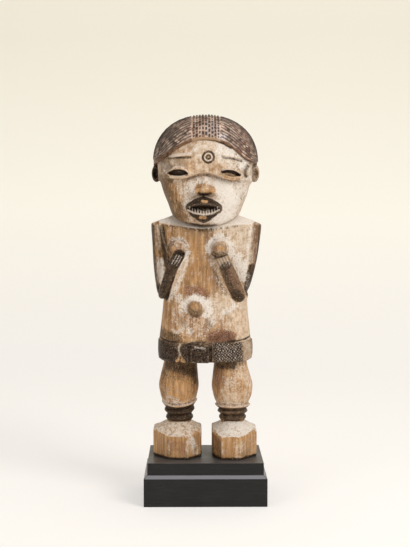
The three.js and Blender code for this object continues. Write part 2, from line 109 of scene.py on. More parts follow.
def common(a, b, soft=0.0):
    """What two solids share, with the edge where they meet rounded."""
    return -join(-a, -b, soft)


class Block:
    """A block on a grid of points, carved by adding and cutting forms."""

    # Two corners that hold the whole of any block
    ALL = ((-1e3,) * 3, (1e3,) * 3)

    def __init__(self, low, high, step):
        self.low, self.step = np.array(low, float), step
        self.axes = [np.arange(a, b, step, dtype=np.float32) for a, b in zip(low, high)]
        self.wood = np.full([len(axis) for axis in self.axes], AIR, np.float32)

    def part(self, low, high):
        """A stretch of the grid between two corners: where it lies and its coordinates."""
        spans = tuple(
            slice(*np.searchsorted(axis, (a, b))) for axis, a, b in zip(self.axes, low, high)
        )
        x, y, z = (axis[span] for axis, span in zip(self.axes, spans))
        return spans, (x[:, None, None], y[None, :, None], z[None, None, :])

    def add(self, form, low=ALL[0], high=ALL[1], soft=0.0):
        """Joins a form to the wood between two corners."""
        spans, place = self.part(low, high)
        self.wood[spans] = join(self.wood[spans], form(*place), soft)

    def cut(self, form, low=ALL[0], high=ALL[1], soft=0.0):
        """Takes a form out of the wood between two corners."""
        spans, place = self.part(low, high)
        self.wood[spans] = common(self.wood[spans], -form(*place), soft)

    def swell(self, amount, low=ALL[0], high=ALL[1]):
        """Moves the surface out by an amount that depends on the place."""
        spans, place = self.part(low, high)
        self.wood[spans] -= amount(*place)

    def roughen(self, height, spans, seed):
        """Makes the whole surface uneven, as a blade leaves it."""
        self.wood += height * ripple(self.axes, spans, seed)


def ripple(axes, spans, seed):
    """Even random values, about -1 to 1, that change over about spans millimetres each way."""
    rng = np.random.default_rng(seed)
    weights = []
    for axis, span in zip(axes, spans):
        t = (axis - axis[0]) / span
        first = np.floor(t).astype(int)
        f = t - first
        row = np.arange(len(axis))
        table = np.zeros((len(axis), first[-1] + 4), np.float32)
        # The four weights of a cubic spline through the random values
        table[row, first] = (1 - f) ** 3 / 6
        table[row, first + 1] = (3 * f**3 - 6 * f**2 + 4) / 6
        table[row, first + 2] = (-3 * f**3 + 3 * f**2 + 3 * f + 1) / 6
        table[row, first + 3] = f**3 / 6
        weights.append(table)
    values = rng.uniform(-1, 1, [w.shape[1] for w in weights]).astype(np.float32)
    for w in weights:
        values = np.tensordot(values, w, axes=(0, 1))
    return 2 * values


# Forms, each a function of x, y and z that gives the distance to its surface


def level_form(rows, base=None, top=None, soft=0.0):
    """A body from level sections: each row is z, left, right, front, back and squareness."""
    table = np.array(rows, float)

    def form(x, y, z):
        keys = table[:, 0]
        left, right, front, back, square = (flow(z[0, 0], keys, c) for c in table[:, 1:].T)
        u = np.abs(x - (left + right) / 2) / ((right - left) / 2)
        v = np.abs(y - (front + back) / 2) / ((back - front) / 2)
        ratio = np.maximum(u**square + v**square, 1e-6) ** (1 / square)
        reach = np.sqrt((x - (left + right) / 2) ** 2 + (y - (front + back) / 2) ** 2)
        low = (base(x, y) if base else keys[0]) - z
        high = z - (top(x, y) if top else keys[-1])
        return common(reach - reach / ratio, np.maximum(low, high), soft)

    return form


def front_form(rows):
    """A body from upright sections: each row is y, x, z, half width, up, down and squareness."""
    table = np.array(rows, float)
    table = table[np.argsort(table[:, 0])]

    def form(x, y, z):
        keys = table[:, 0]
        columns = (flow(y[0, :, 0], keys, c)[None, :, None] for c in table[:, 1:].T)
        mid, height, half, up, down, square = columns
        rise = z - height
        u, v = np.abs(x - mid) / half, np.abs(rise) / np.where(rise > 0, up, down)
        ratio = np.maximum(u**square + v**square, 1e-6) ** (1 / square)
        reach = np.sqrt((x - mid) ** 2 + rise**2)
        return np.maximum(reach - reach / ratio, np.maximum(keys[0] - y, y - keys[-1]))

    return form


def limb_form(stations, pieces=4):
    """A limb from squared sections: each row is x, y, z, half width, half depth, squareness."""
    table = np.array(stations, float)
    keys = np.arange(len(table))
    steps = np.linspace(0, len(table) - 1, (len(table) - 1) * pieces + 1)
    rows = np.stack([flow(steps, keys, column) for column in table.T], 1)

    def form(x, y, z):
        whole = None
        for a, b in zip(rows[:-1], rows[1:]):
            way = b[:3] - a[:3]
            length = np.linalg.norm(way)
            way = way / length
            side = np.cross((0, -1, 0), way)
            side /= np.linalg.norm(side)
            out = np.cross(way, side)
            p = [x - a[0], y - a[1], z - a[2]]
            along = sum(c * d for c, d in zip(p, way))
            t = np.clip(along / length, 0, 1)
            wide, deep, square = (a[i] + (b[i] - a[i]) * t for i in (3, 4, 5))
            across = sum(c * d for c, d in zip(p, side))
            proud = sum(c * d for c, d in zip(p, out))
            beyond = along - t * length
            u, v = np.abs(across) / wide, np.abs(proud) / deep
            ratio = np.maximum(u**square + v**square, 1e-6) ** (1 / square)
            reach = np.sqrt(across**2 + proud**2)
            piece = common(reach - reach / ratio, np.abs(beyond) - 0.6, 1.0)
            whole = piece if whole is None else join(whole, piece)
        return whole

    return form


def turned_form(profile, place, axis=(0, 0, 1)):
    """A turned form: profile rows are the height along the axis and the radius there."""
    table = np.array(profile, float)
    axis = np.array(axis, float) / np.linalg.norm(axis)

    def form(x, y, z):
        p = [x - place[0], y - place[1], z - place[2]]
        height = sum(c * d for c, d in zip(p, axis))
        radius = np.sqrt(np.maximum(p[0] ** 2 + p[1] ** 2 + p[2] ** 2 - height**2, 0))
        shape = np.interp(height, table[:, 0], table[:, 1]).astype(np.float32)
        fall = np.gradient(table[:, 1], table[:, 0])
        slope = np.interp(height, table[:, 0], fall).astype(np.float32)
        ends = np.maximum(table[0, 0] - height, height - table[-1, 0])
        return np.maximum((radius - shape) / np.sqrt(1 + slope**2), ends)

    return form


def egg(place, size):
    """An ellipsoid."""

    def form(x, y, z):
        p = [(c - m) / s for c, m, s in zip((x, y, z), place, size)]
        ratio = np.sqrt(sum(c * c for c in p)) + 1e-6
        steep = np.sqrt(sum((c / s) ** 2 for c, s in zip(p, size))) + 1e-6
        return ratio * (ratio - 1) / steep

    return form


def bar(a, b, thick_a, thick_b):
    """A straight round bar between two points, with a radius at each."""
    a, b = np.array(a, float), np.array(b, float)

    def form(x, y, z):
        p = [x - a[0], y - a[1], z - a[2]]
        way = b - a
        t = np.clip(sum(c * d for c, d in zip(p, way)) / (way @ way), 0, 1)
        gap = np.sqrt(sum((c - t * d) ** 2 for c, d in zip(p, way)))
        return gap - (thick_a + (thick_b - thick_a) * t)

    return form


def box_form(low, high):
    """A box between two corners."""

    def form(x, y, z):
        gaps = [np.maximum(a - c, c - b) for c, a, b in zip((x, y, z), low, high)]
        return np.maximum(np.maximum(gaps[0], gaps[1]), gaps[2])

    return form


# Marks in the front view


def line_height(line, x):
    """The height of a front view line at every place across a block."""
    return flow(x[:, 0, 0], *np.array(line).T)[:, None, None]


def gap_to(x, z, points):
    """The distance in the front view to a line through points."""
    points = np.array(points, float)
    best = np.full(np.broadcast(x, z).shape, 1e3, np.float32)
    for (ax, az), (bx, bz) in zip(points[:-1], points[1:]):
        length = max((bx - ax) ** 2 + (bz - az) ** 2, 1e-6)
        t = np.clip(((x - ax) * (bx - ax) + (z - az) * (bz - az)) / length, 0, 1)
        best = np.minimum(best, np.hypot(x - ax - t * (bx - ax), z - az - t * (bz - az)))
    return best


def stroke(x, z, points, width):
    """How much of a cut through front view points covers a place, 1 at its middle."""
    return 1 - ease(gap_to(x, z, points), width * 0.5, width)


def spot(x, z, place, size, blur=0.5):
    """How much of an oval front view patch covers a place. blur is its soft share."""
    u, v = x - place[0], z - place[1]
    return 1 - ease(np.hypot(u / size[0], v / size[1]), 1 - blur, 1 + blur)


# The head

CHEEKS = [
    (314, -30, 30.5, -42, 22, 2.2),
    (320.4, -34.6, 35.2, -46.6, 27, 2.3),
    (334, -39.2, 40.2, -50.5, 34, 2.4),
    (346, -43.2, 44.8, -50.5, 41, 2.6),
    (360, -48.8, 50.2, -49.5, 48, 2.6),
    (372, -51.8, 52.8, -48.5, 52, 2.6),
    (390, -52.6, 53.6, -47, 54, 2.5),
    (402, -53, 54, -45, 53, 2.4),
]
VISOR = [
    (362, -50.6, 51.6, -52.5, 30, 2.6),
    (372, -52.4, 53.4, -55, 34, 2.6),
    (384, -53.2, 54.2, -56.3, 38, 2.6),
    (398, -54.2, 55.2, -55.8, 40, 2.5),
    (412, -53, 54, -52.6, 40, 2.4),
    (426, -46, 46, -45, 36, 2.3),
]
BROW_LINE = [
    (-70, 374.5), (-41, 374.6), (-31, 373.6), (-22, 374), (-13, 376.6), (-5, 379.2),
    (4, 379.4), (10, 377.2), (18, 374.2), (26, 371.9), (34, 371.2), (70, 372),
]
# Each eye: its middle across and up, its lean, half its width and its height above and below
EYES = [
    (-31.4, 378.9, -0.02, 12.4, 6.2, 4.6),
    (28.4, 378.6, -0.13, 12, 5.6, 5.2),
]
LEFT_BROW = (-28.6, 397.4)
UNDER_LEFT_BROW = [(-43, 396.2), (-30, 396), (-17, 396.3)]
RIGHT_BROW = [(18.8, 397.6), (21.5, 395.9), (28, 395.6), (34, 394.2), (40.5, 392.9)]
TEMPLE_CUT = [(48, 387), (45.5, 383), (44.2, 379), (45.8, 375.5)]
RING = (3, 396.8)
# The rings of the forehead mark: radius, width and height
RINGS = [(6.3, 1.1, -1.5), (4.3, 0.8, 0.5), (2.4, 0.9, -1.3), (0, 0.9, 0.3)]
MOUTH = -2.4
LIPS = [
    (-40, -2.4, 341, 22.6, 15, 18, 1.42),
    (-52, -2.4, 341, 21.4, 14, 17.2, 1.42),
    (-59, -2.4, 341, 19.6, 11.6, 14.8, 1.4),
    (-64.4, -2.4, 341, 17, 7.6, 11.4, 1.42),
    (-67.4, -2.4, 341, 13.4, 3.6, 8, 1.5),
    (-68.4, -2.4, 341, 9, 1.4, 5.4, 1.6),
]
SLOT = [
    (-54, -2.4, 339.2, 14, 1.2, 4.6, 1.5),
    (-60, -2.4, 339.6, 17.4, 2.2, 5.6, 1.5),
    (-66, -2.4, 340, 19.4, 2.8, 6.6, 1.5),
    (-73, -2.4, 340.4, 20.4, 3.4, 7.8, 1.5),
]
EARS = ((-1, -56.8), (1, 57.8))


def jaw(x, y):
    """The height of the underside of the jaw, which rises to both sides."""
    return 318.6 + 10.5 * (x / 36) ** 2 + 0 * y


def eye_relief(x, z, eye):
    """A slit between a thick upper lid and a thin lower one, on a low bulge."""
    at_x, at_z, lean, half, up, down = eye
    u, v = x - at_x, z - at_z - lean * (x - at_x)
    arch = np.clip(1 - (u / half) ** 2, 0, 1)
    bulge = np.clip(1 - (u / (half + 2.5)) ** 2 - (v / (up + 2)) ** 2, 0, 1)
    over, under = arch * (up - 1.6), -arch * (down - 1.8)
    out = 2.2 * np.sqrt(bulge)
    out = out + 1.2 * ridge(v - over - 0.6, 1.0) * ease(arch, 0, 0.25)
    out = out + 0.7 * ridge(v - under + 0.9, 0.8) * ease(arch, 0, 0.3)
    slit = np.minimum(over - v, v - under)
    return out - 4.6 * ease(slit, -0.3, 0.9) * ease(arch, 0.02, 0.2)


def visor_relief(x, z):
    """The marks on the visor: eyes, brows, forehead rings and temple cut, out is plus."""
    out = sum(eye_relief(x, z, eye) for eye in EYES)
    # The left brow is a raised blade with a cut under it, and the right brow is only a cut
    u, v = x - LEFT_BROW[0], z - LEFT_BROW[1]
    high = 0.8 + 3.2 * ease(u, -13, 12)
    blade = np.minimum(np.minimum(v + 0.4, high - v), (12.6 - np.abs(u)) * 0.5)
    out = out + 2.9 * ease(blade, -0.3, 0.8)
    out = out - 1.1 * stroke(x, z, UNDER_LEFT_BROW, 1.5)
    out = out - 1.9 * stroke(x, z, RIGHT_BROW, 1.7)
    turn = np.arctan2(z - RING[1], x - RING[0])
    sway = 0.35 * np.sin(3 * turn) + 0.25 * np.sin(5 * turn + 1)
    from_ring = np.hypot(x - RING[0], z - RING[1]) + sway
    for radius, width, height in RINGS:
        out = out + height * ridge(from_ring - radius, width)
    return out - 1.7 * stroke(x, z, TEMPLE_CUT, 1.6)


def tooth_root(i):
    """Where a tooth stands in the lower jaw, counted from the middle one."""
    share = i / 5
    return MOUTH + 15.6 * share, -64.6 + 8 * share**2, 334.2 + 3.8 * share**2


def head_block(step):
    block = Block((-66, -73, 311), (67, 62, 431), step)
    block.add(level_form(CHEEKS, base=jaw, soft=4.5))

    # The visor stands out from the cheeks, and its step is softer at the temples
    spans, (x, y, z) = block.part((-66, -73, 362), (67, 62, 431))
    visor = common(level_form(VISOR)(x, y, z), line_height(BROW_LINE, x) - z, 1.2)
    reach = 1.4 + 7 * ease(np.abs(x + 1), 34, 44)
    block.wood[spans] = join(block.wood[spans], visor, reach)
    block.swell(
        lambda x, y, z: visor_relief(x, z) * ease(y, -20, -34), (-60, -73, 368), (62, 0, 420)
    )

    # The nose: its bridge, tip, wings and nostrils
    for form in (
        bar((-0.6, -46, 380), (-0.6, -51.4, 366), 2.2, 3.6),
        egg((-0.8, -56.5, 359.6), (6.8, 8.4, 4.6)),
        egg((-9.4, -53, 357.8), (5.4, 6, 4)),
        egg((8, -53, 357.8), (5.4, 6, 4)),
    ):
        block.add(form, (-24, -73, 346), (22, -38, 388), soft=3.4)
    for side in (-6.2, 5.4):
        block.cut(egg((side, -58, 352.4), (2.6, 3.2, 1.9)), (-12, -70, 348), (12, -45, 358), 1.0)

    # The open mouth, with filed teeth along the lower lip
    block.add(front_form(LIPS), (-30, -73, 316), (27, -40, 362), soft=0.9)
    block.cut(front_form(SLOT), (-30, -73, 326), (27, -50, 352), soft=0.6)
    for i in range(-5, 6):
        x, y, z = tooth_root(i)
        tooth = bar((x, y + 2, z - 2.4), (x, y - 0.4, z + 3.6 - 1.6 * (i / 5) ** 2), 1.7, 0.35)
        block.add(tooth, (-30, -73, 326), (27, -45, 345), soft=0.4)

    for side, x in EARS:
        low, high = (x - 9, -14, 366), (x + 9, 16, 394)
        block.add(egg((x, 3, 380.5), (5.8, 7, 10.4)), low, high, soft=1.5)
        block.cut(egg((x + side * 1.2, -5, 380), (3.2, 8, 6.8)), low, high, soft=0.8)
    block.roughen(0.28, (11, 11, 15), 3)
    return block


# The trunk with its arms

TRUNK = [
    (181, -54.5, 54, -36, 35, 2.6),
    (203, -51.7, 51.6, -38.5, 34, 2.6),
    (222, -49.4, 49.7, -39.4, 32, 2.7),
    (242, -48, 49, -38, 31, 2.9),
    (264, -48, 50, -36, 31.4, 3.2),
    (288, -49.2, 51.4, -34.8, 32.5, 3.5),
    (309, -52.2, 53.4, -34.2, 32, 3.6),
    (334, -54, 55, -34, 31, 3.6),
]
FLANKS = [
    (239, -48, 45, -14, 6, 3),
    (247, -53.4, 48.8, -25, 10, 5),
    (262, -56.4, 55, -31, 12, 7),
    (300, -60.2, 62, -34.6, 14, 7),
    (334, -60.9, 63.4, -34.6, 15, 7),
]
LEFT_UPPER_ARM = [
    (-48.4, -9, 239, 4.2, 8, 2.2),
    (-50.6, -8, 244, 5.4, 10, 2.4),
    (-51.8, -5, 253, 5.8, 13, 2.8),
    (-53.1, -4, 265, 6, 14.4, 3.2),
    (-54.2, -3, 279, 6.2, 15.6, 3.4),
    (-55.3, -2, 302, 6.5, 18, 3.6),
    (-56.1, -2, 319, 6.7, 20, 3.6),
    (-56.1, -2, 334, 6.7, 20, 3.6),
]
LEFT_FOREARM = [
    (-49.6, -10, 240, 3.8, 6, 2.2),
    (-48.8, -20, 243, 5.4, 8, 2.4),
    (-46, -32.5, 252, 6, 7.4, 2.8),
    (-40.2, -38.4, 266.3, 6.5, 6.6, 2.8),
    (-35.6, -39.4, 276, 6.8, 6, 2.6),
    (-31.8, -38.2, 286, 6.6, 4.4, 2.2),
]
RIGHT_UPPER_ARM = [
    (42.4, -9, 239, 4.2, 8, 2.2),
    (44, -8, 244, 5, 10, 2.4),
    (47.6, -5, 252, 5.3, 13, 2.8),
    (50.9, -4, 265, 5.6, 14.4, 3.2),
    (54, -3, 279, 5.8, 15.6, 3.4),
    (56.4, -2.5, 293, 5.9, 17, 3.5),
    (58.3, -2, 308, 6, 18.6, 3.6),
    (59.3, -2, 319, 6, 20, 3.6),
    (59.3, -2, 334, 6, 20, 3.6),
]
RIGHT_FOREARM = [
    (43.4, -10, 240, 4.2, 6, 2.2),
    (41.4, -22, 238.5, 6.8, 8, 2.4),
    (35.6, -34, 247, 7.6, 7.6, 2.8),
    (28.3, -38.8, 260.6, 8, 6.8, 2.8),
    (22.4, -39.8, 273, 8.6, 6, 2.6),
    (18.8, -38.6, 283, 8.6, 4.4, 2.2),
]
# The shoulders' outline, and the front edge of the shelf that the neck stands on
SHOULDER_LINE = [
    (-80, SHOULDER + 1), (-64.6, SHOULDER + 1), (-58, SHOULDER + 3),
    (-50, SHOULDER + 5.8), (-41, NECK - 2), (-30, NECK + 2.4), (30, NECK + 2.4),
    (42, NECK - 2), (54, SHOULDER + 4.8), (66.2, SHOULDER + 0.4), (80, SHOULDER + 0.4),
]
BUST_LINE = [
    (-80, SHOULDER + 1.4), (-54, SHOULDER + 1.6), (-42, SHOULDER + 1.1),
    (-29, SHOULDER - 1.4), (-20, SHOULDER - 1.9), (-12.6, SHOULDER - 2.6),
    (-4, SHOULDER - 3.6), (4, SHOULDER - 2.6), (19, SHOULDER - 0.7),
    (36.6, SHOULDER - 0.3), (54, SHOULDER + 0.2), (80, SHOULDER + 0.4),
]
# The breast's upright edges, and how deep the wood falls away from each edge to the arm
LEFT_EDGE = [(236, -57), (246, -49), (262, -44), (276, -42.5), (291, -44), (306, -48.4), (322, -52.5)]
RIGHT_EDGE = [(236, 49), (246, 47), (262, 46.4), (276, 47), (291, 49.4), (306, 51.8), (322, 54)]
LEFT_HOLLOW = [(0, 0), (0.22, 10.5), (0.42, 14), (0.62, 12.4), (0.85, 11.8), (1.2, 15)]
RIGHT_HOLLOW = [(0, 0), (0.12, 4.5), (0.25, 6), (0.5, 5.4), (0.8, 7), (1.2, 13)]
# How steeply the form leaves each edge on its inner side, where it cuts nothing
EDGE_SLOPE = 1.6
# The cuts between the fingers
LEFT_FINGERS = [
    ((-38.6, 276.6), (-32.4, 286.8)),
    ((-35.8, 275.4), (-29.7, 285.6)),
    ((-33.1, 274.2), (-27.2, 284.2)),
]
RIGHT_FINGERS = [
    ((10.9, 280.6), (15.1, 272.3)),
    ((14, 281.9), (18.2, 273.6)),
    ((17.2, 282.8), (21.4, 274.5)),
    ((20.4, 283.7), (24.6, 275.4)),
    ((23.6, 284.2), (27.8, 275.9)),
]
# The breasts and the navel: place, axis, radius, reach, nub and fillet
BOSSES = [
    ((-31.2, -34, 295.2), (-0.3, -1, -0.03), 8.8, 17, 2.4, 0.8),
    ((16.6, -34, 294.6), (-0.07, -1, 0.04), 10.6, 17.6, 2.8, 0.8),
    ((-11.9, -36.5, 225.4), (-0.05, -1, 0.14), 9.8, 12, 3.4, 1.6),
]


def shelf(x, y):
    """The height of the shoulder shelf, which rises from its edge towards the neck."""
    bust, neck = line_height(BUST_LINE, x), NECK + 2
    front = bust + (neck - bust) * np.clip((y + 34) / 22, 0, 1)
    back = SHOULDER + 3.4 + (neck - SHOULDER - 3.4) * np.clip((31 - y) / 16, 0, 1)
    return np.minimum(np.minimum(front, back), line_height(SHOULDER_LINE, x))


def boss(place, axis, radius, reach, nub):
    """A breast or navel: a full rounded cone with a small worn nub at its tip."""
    profile = [
        (-8, radius * 0.95),
        (0, radius),
        (reach * 0.25, radius * 0.98),
        (reach * 0.42, radius * 0.92),
        (reach * 0.56, radius * 0.8),
        (reach * 0.7, radius * 0.62),
        (reach * 0.81, radius * 0.43),
        (reach * 0.87, nub * 1.1),
        (reach * 0.97, nub),
        (reach * 1.05, nub * 0.6),
        (reach * 1.08, 0.05),
    ]
    return turned_form(profile, place, axis)


def hollow_beside(edge, side, arm, dip):
    """The hollow between an upright edge of the breast and the arm beside it."""
    keys, falls = np.array(dip).T

    def form(x, y, z):
        at = np.abs(flow(z[0, 0], *np.array(edge).T))
        width = arm - at
        beyond = (side * x - at) / width
        fall = np.where(beyond < 0, beyond * width * EDGE_SLOPE, flow(beyond, keys, falls))
        rise = np.abs(flow(beyond + 0.06, keys, falls) - flow(beyond - 0.06, keys, falls))
        slope = np.maximum(rise / (0.12 * width), EDGE_SLOPE * (beyond < 0))
        return (y + 35.4 - fall) / np.sqrt(1 + slope**2)

    return form


def beside(stations, shift, wider, back):
    """The sloping flank of a limb: its stations moved across, made wider and set back."""
    return [(x + shift, y + back, z, w + wider, d, s) for x, y, z, w, d, s in stations[1:]]


def below_shoulders(form):
    """A form cut off along the shoulders' outline."""

    def trimmed(x, y, z):
        return common(form(x, y, z), z - line_height(SHOULDER_LINE, x), 1.2)

    return trimmed


def trunk_block(step):
    block = Block((-67, -56, 176), (68, 42, 341), step)
    block.add(level_form(TRUNK, base=lambda x, y: 178 + 0 * x, top=shelf, soft=0.9))
    block.add(level_form(FLANKS, top=shelf), (-67, -56, 236), (68, 30, 336), soft=0.8)
    low, high = (-67, -56, 230), (68, 42, 341)
    block.cut(hollow_beside(LEFT_EDGE, -1, 62.5, LEFT_HOLLOW), low, (-20, 42, 341), soft=0.7)
    block.cut(hollow_beside(RIGHT_EDGE, 1, 64, RIGHT_HOLLOW), (20, -56, 230), high, soft=0.7)
    for stations, low, high in (
        (LEFT_UPPER_ARM, (-67, -30, 224), (-44, 24, 341)),
        (RIGHT_UPPER_ARM, (38, -30, 224), (68, 24, 341)),
    ):
        block.add(below_shoulders(limb_form(stations)), low, high, soft=1.2)
    for stations, shift, low, high in (
        (LEFT_FOREARM, 3.6, (-64, -52, 226), (-16, 4, 296)),
        (RIGHT_FOREARM, -2.6, (4, -52, 226), (62, 4, 296)),
    ):
        block.add(limb_form(beside(stations, shift, 1.6, 4.2)), low, high, soft=1.6)
        block.add(limb_form(stations), low, high, soft=1.2)
    for (ax, az), (bx, bz) in LEFT_FINGERS + RIGHT_FINGERS:
        cut = bar((ax, -45.9, az), (bx, -44.2, bz), 0.8, 0.8)
        low = (min(ax, bx) - 3, -56, min(az, bz) - 3)
        block.cut(cut, low, (max(ax, bx) + 3, -36, max(az, bz) + 3), soft=0.5)
    for place, axis, radius, reach, nub, soft in BOSSES:
        x, _, z = place
        low, high = (x - 18, -56, z - 18), (x + 18, -20, z + 18)
        block.add(boss(place, axis, radius, reach, nub), low, high, soft)
    block.roughen(0.3, (8, 8, 26), 7)
    return block


# The waistband

BAND = [
    (HEM - 0.6, -50.5, 50.5, -36.9, 34, 2.6),
    (HEM + 2.8, -54.6, 54.9, -38.3, 36.6, 2.6),
    (HEM + 12, -55.2, 55.6, -38.4, 37.3, 2.6),
    (WAIST - 1.2, -54.9, 55, -37.6, 36.6, 2.6),
    (WAIST + 0.4, -54.1, 54, -36.6, 35.6, 2.6),
]
BAND_TAB = [
    (-41.6, -6.2, 181.4, 7.6, 1.4, 1.6, 1.5),
    (-38.4, -6.4, 182, 10, 3.4, 2.6, 1.5),
    (-28, -6.8, 182.4, 10.6, 4, 3, 1.5),
]
BAND_CRACK = [(-28, 188), (-29, 184.6), (-30, 180), (-29.6, 174), (-28.4, 169.6), (-29.6, 162)]
# The upright cuts beside the buckle: place across, half width and how far back they reach
BAND_CUTS = [(-19, 0.9, -36.4), (5.6, 1.7, -36.2)]
HATCHED = (9, 52)


def hatching(x, z):
    """The small knobs that the crossing cuts leave: 1 on a knob and 0 in a cut."""
    sway = 0.7 * np.sin(0.8 * z + 1.7 * np.sin(0.45 * x))
    u, v = (x + 1.2 * z + sway) / 3.9, (x - 0.8 * z - sway) / 3.4
    knobs = np.abs(np.sin(math.pi * u) * np.sin(math.pi * v))
    return ease(knobs, 0.15, 0.7)


def band_relief(x, y, z):
    """The waistband's marks: a line along its top, a crack, a chip and the hatched field."""
    line = ridge(z - WAIST + 0.9, 0.7) * ease(np.abs(x + 1), 15, 19)
    crack = stroke(x, z, BAND_CRACK, 1.3)
    chip = spot(x, z, (-29.6, 166), (4.4, 3.4), 0.3) * 1.2
    left, right = HATCHED
    field = ease(x, left, left + 2.5) * ease(x, right, right - 8) * ease(z, HEM + 0.6, HEM + 3)
    cut = 1.3 * line + 1.5 * crack + chip + 0.8 * field * (1 - hatching(x, z))
    return -ease(y, -18, -28) * cut


def band_block(step):
    block = Block((-60, -44, 160), (60, 41, 191), step)
    block.add(level_form(BAND, soft=0.8))
    low, high = (-24, -44, 160), (12, -25, 191)
    block.add(box_form((-17.2, -39.9, HEM - 0.6), (3.6, -30, 180.6)), low, high, soft=0.9)
    block.add(front_form(BAND_TAB), low, high, soft=0.7)
    for x, wide, back in BAND_CUTS:
        cut = box_form((x - wide, -50, 158), (x + wide, back, WAIST - 1.4))
        block.cut(cut, (x - 6, -44, 160), (x + 6, -25, 191), soft=0.7)
    block.swell(band_relief, (-60, -44, 160), (60, -14, 191))
    block.roughen(0.3, (6, 6, 14), 17)
    return block


# The legs

# The calves' height, front and back, the same on both legs
CALF_LEVELS = [
    (101, -13, 15), (107, -15, 17), (114, -19, 22), (122, -22.5, 25), (132, -24, 27),
    (143, -23, 27), (155, -21, 27), (168, -20, 27),
]
# Each leg: its ankle's middle, the corners of its foot's top, the calf's sides at each level, how
# the collar and its rings dip, and how strong some pigments are, with painted shade and light on the foot's
# sides
LEFT_LEG = {
    "ankle": (-30.2, 1),
    "corners": [
        (-60.8, -6, 79.5), (-43, -31, 76.6), (-20.5, -35.5, 76), (-4.2, -13, 79.5),
        (-4.2, 25, 82), (-15, 36, 82), (-47, 36, 82), (-60.8, 24, 81),
    ],
    "calf": [
        (-44.6, -15.6), (-47, -13.5), (-50.4, -11.2), (-52.8, -9.2), (-54.5, -7.4), (-52.6, -8.1),
        (-49.6, -9), (-47, -9.6),
    ],
    "drop": 0.0,
    "dip": 2.0,
    "lean": -0.05,
    "tones": {"shade": 0.5, "front": 0.4, "sunny": 0.45, "rings": 0.92, "clay": 0.38, "stain": 0.44},
}
RIGHT_LEG = {
    "ankle": (32.4, 1),
    "corners": [
        (8.2, -15, 79), (18.4, -36, 76.4), (40, -37.5, 77), (60.6, -11, 79),
        (60.6, 24, 81), (49, 36, 82), (19, 36, 82), (8.2, 25, 82),
    ],
    "calf": [
        (17.6, 47), (15.5, 49), (11.8, 52.4), (9.2, 55.1), (7.7, 56), (8.7, 53.4), (10.3, 50),
        (11.4, 48),
    ],
    "drop": 2.6,
    "dip": 0.4,
    "lean": 0.0,
    "tones": {"shade": 0.85, "front": 0.3, "sunny": 0.1, "rings": 0.75, "clay": 0.66, "stain": 0.3},
}
# The rings over the foot and the collar under the calf: height and radius
ANKLE_PROFILE = [
    (ANKLE - 5, 13.2), (ANKLE + 0.5, 13.9), (ANKLE + 3.5, 16.1), (ANKLE + 6.2, 15.6),
    (ANKLE + 8, 14), (ANKLE + 9.4, 15), (ANKLE + 12, 17.8), (ANKLE + 14.8, 17.2),
    (ANKLE + 16.4, 15.6), (ANKLE + 18.4, 18.4), (KNEE, 21), (KNEE + 1.4, 20.6),
    (KNEE + 1.6, 17),
]


def foot_form(corners, ankle):
    """An eight-sided block whose top slopes up to the ankle."""
    plan = np.array(corners, float)
    centre = np.array(ankle, float)
    edges = []
    for a, b in zip(plan, np.roll(plan, -1, 0)):
        away = np.array((b[1] - a[1], a[0] - b[0]))
        away /= np.linalg.norm(away)
        edges.append((away, away @ (a[:2] - centre), (a[2] + b[2]) / 2))

    def form(x, y, z):
        u, v = x - centre[0], y - centre[1]
        side, gauge = -AIR, 0
        for away, gap, _ in edges:
            facing = away[0] * u + away[1] * v
            side = common(side, facing - gap, 1.0)
            gauge = gauge + np.maximum(facing / gap, 0) ** 7
        gauge = gauge ** (1 / 7)
        turn = np.arctan2(v, u)
        angles = np.arctan2(plan[:, 1] - centre[1], plan[:, 0] - centre[0])
        order = np.argsort(angles)
        edge = np.interp(turn, angles[order], plan[order, 2], period=2 * math.pi)
        top = edge + (ANKLE - edge) * ease(gauge, 1.12, 0.3) + 0.6 * ease(gauge, 1.0, 0.8)
        return common(common(side, (z - top) * 0.85, 1.8), SOLE - z, 1.2)

    return form


def collar_dip(leg, x, y, z):
    """How far the collar and the rings under it dip at the front, less lower down."""
    high = ease(z, ANKLE + 2, KNEE - 2)
    across = x - leg["ankle"][0]
    saddle = np.clip(1 - 2 * (across / 20) ** 2, -1.4, 1) + 0 * y
    return high * (leg["drop"] + leg["dip"] * saddle + leg["lean"] * across)


def leg_block(leg, step):
    xs = [corner[0] for corner in leg["corners"]]
    x, y = leg["ankle"]
    block = Block((min(xs) - 3, -39, SOLE - 3), (max(xs) + 3, 40, 172), step)
    block.add(foot_form(leg["corners"], (x, y)), high=(100, 100, 96))
    rings = turned_form(ANKLE_PROFILE, (x, y, 0))

    def dipped(gx, gy, gz):
        return rings(gx, gy, gz + collar_dip(leg, gx, gy, gz))

    block.add(dipped, (x - 24, -24, ANKLE - 5), (x + 24, 26, KNEE + 6), soft=1.0)
    calf = [
        (z, left, right, front, back, 2)
        for (z, front, back), (left, right) in zip(CALF_LEVELS, leg["calf"])
    ]
    block.add(level_form(calf, soft=1.0), (-100, -100, 99), (100, 100, 172), soft=0.6)
    block.roughen(0.25, (9, 9, 16), 11)
    return block


# Meshes

# The ways in which the wood is felt for, to tell an edge from a hollow, and how far
WAYS = [
    (1, 0, 0), (0, 1, 0), (0, 0, 1),
    (0.6, 0.6, 0.6), (0.6, 0.6, -0.6), (0.6, -0.6, 0.6), (-0.6, 0.6, 0.6),
]
FEELER = 1.8


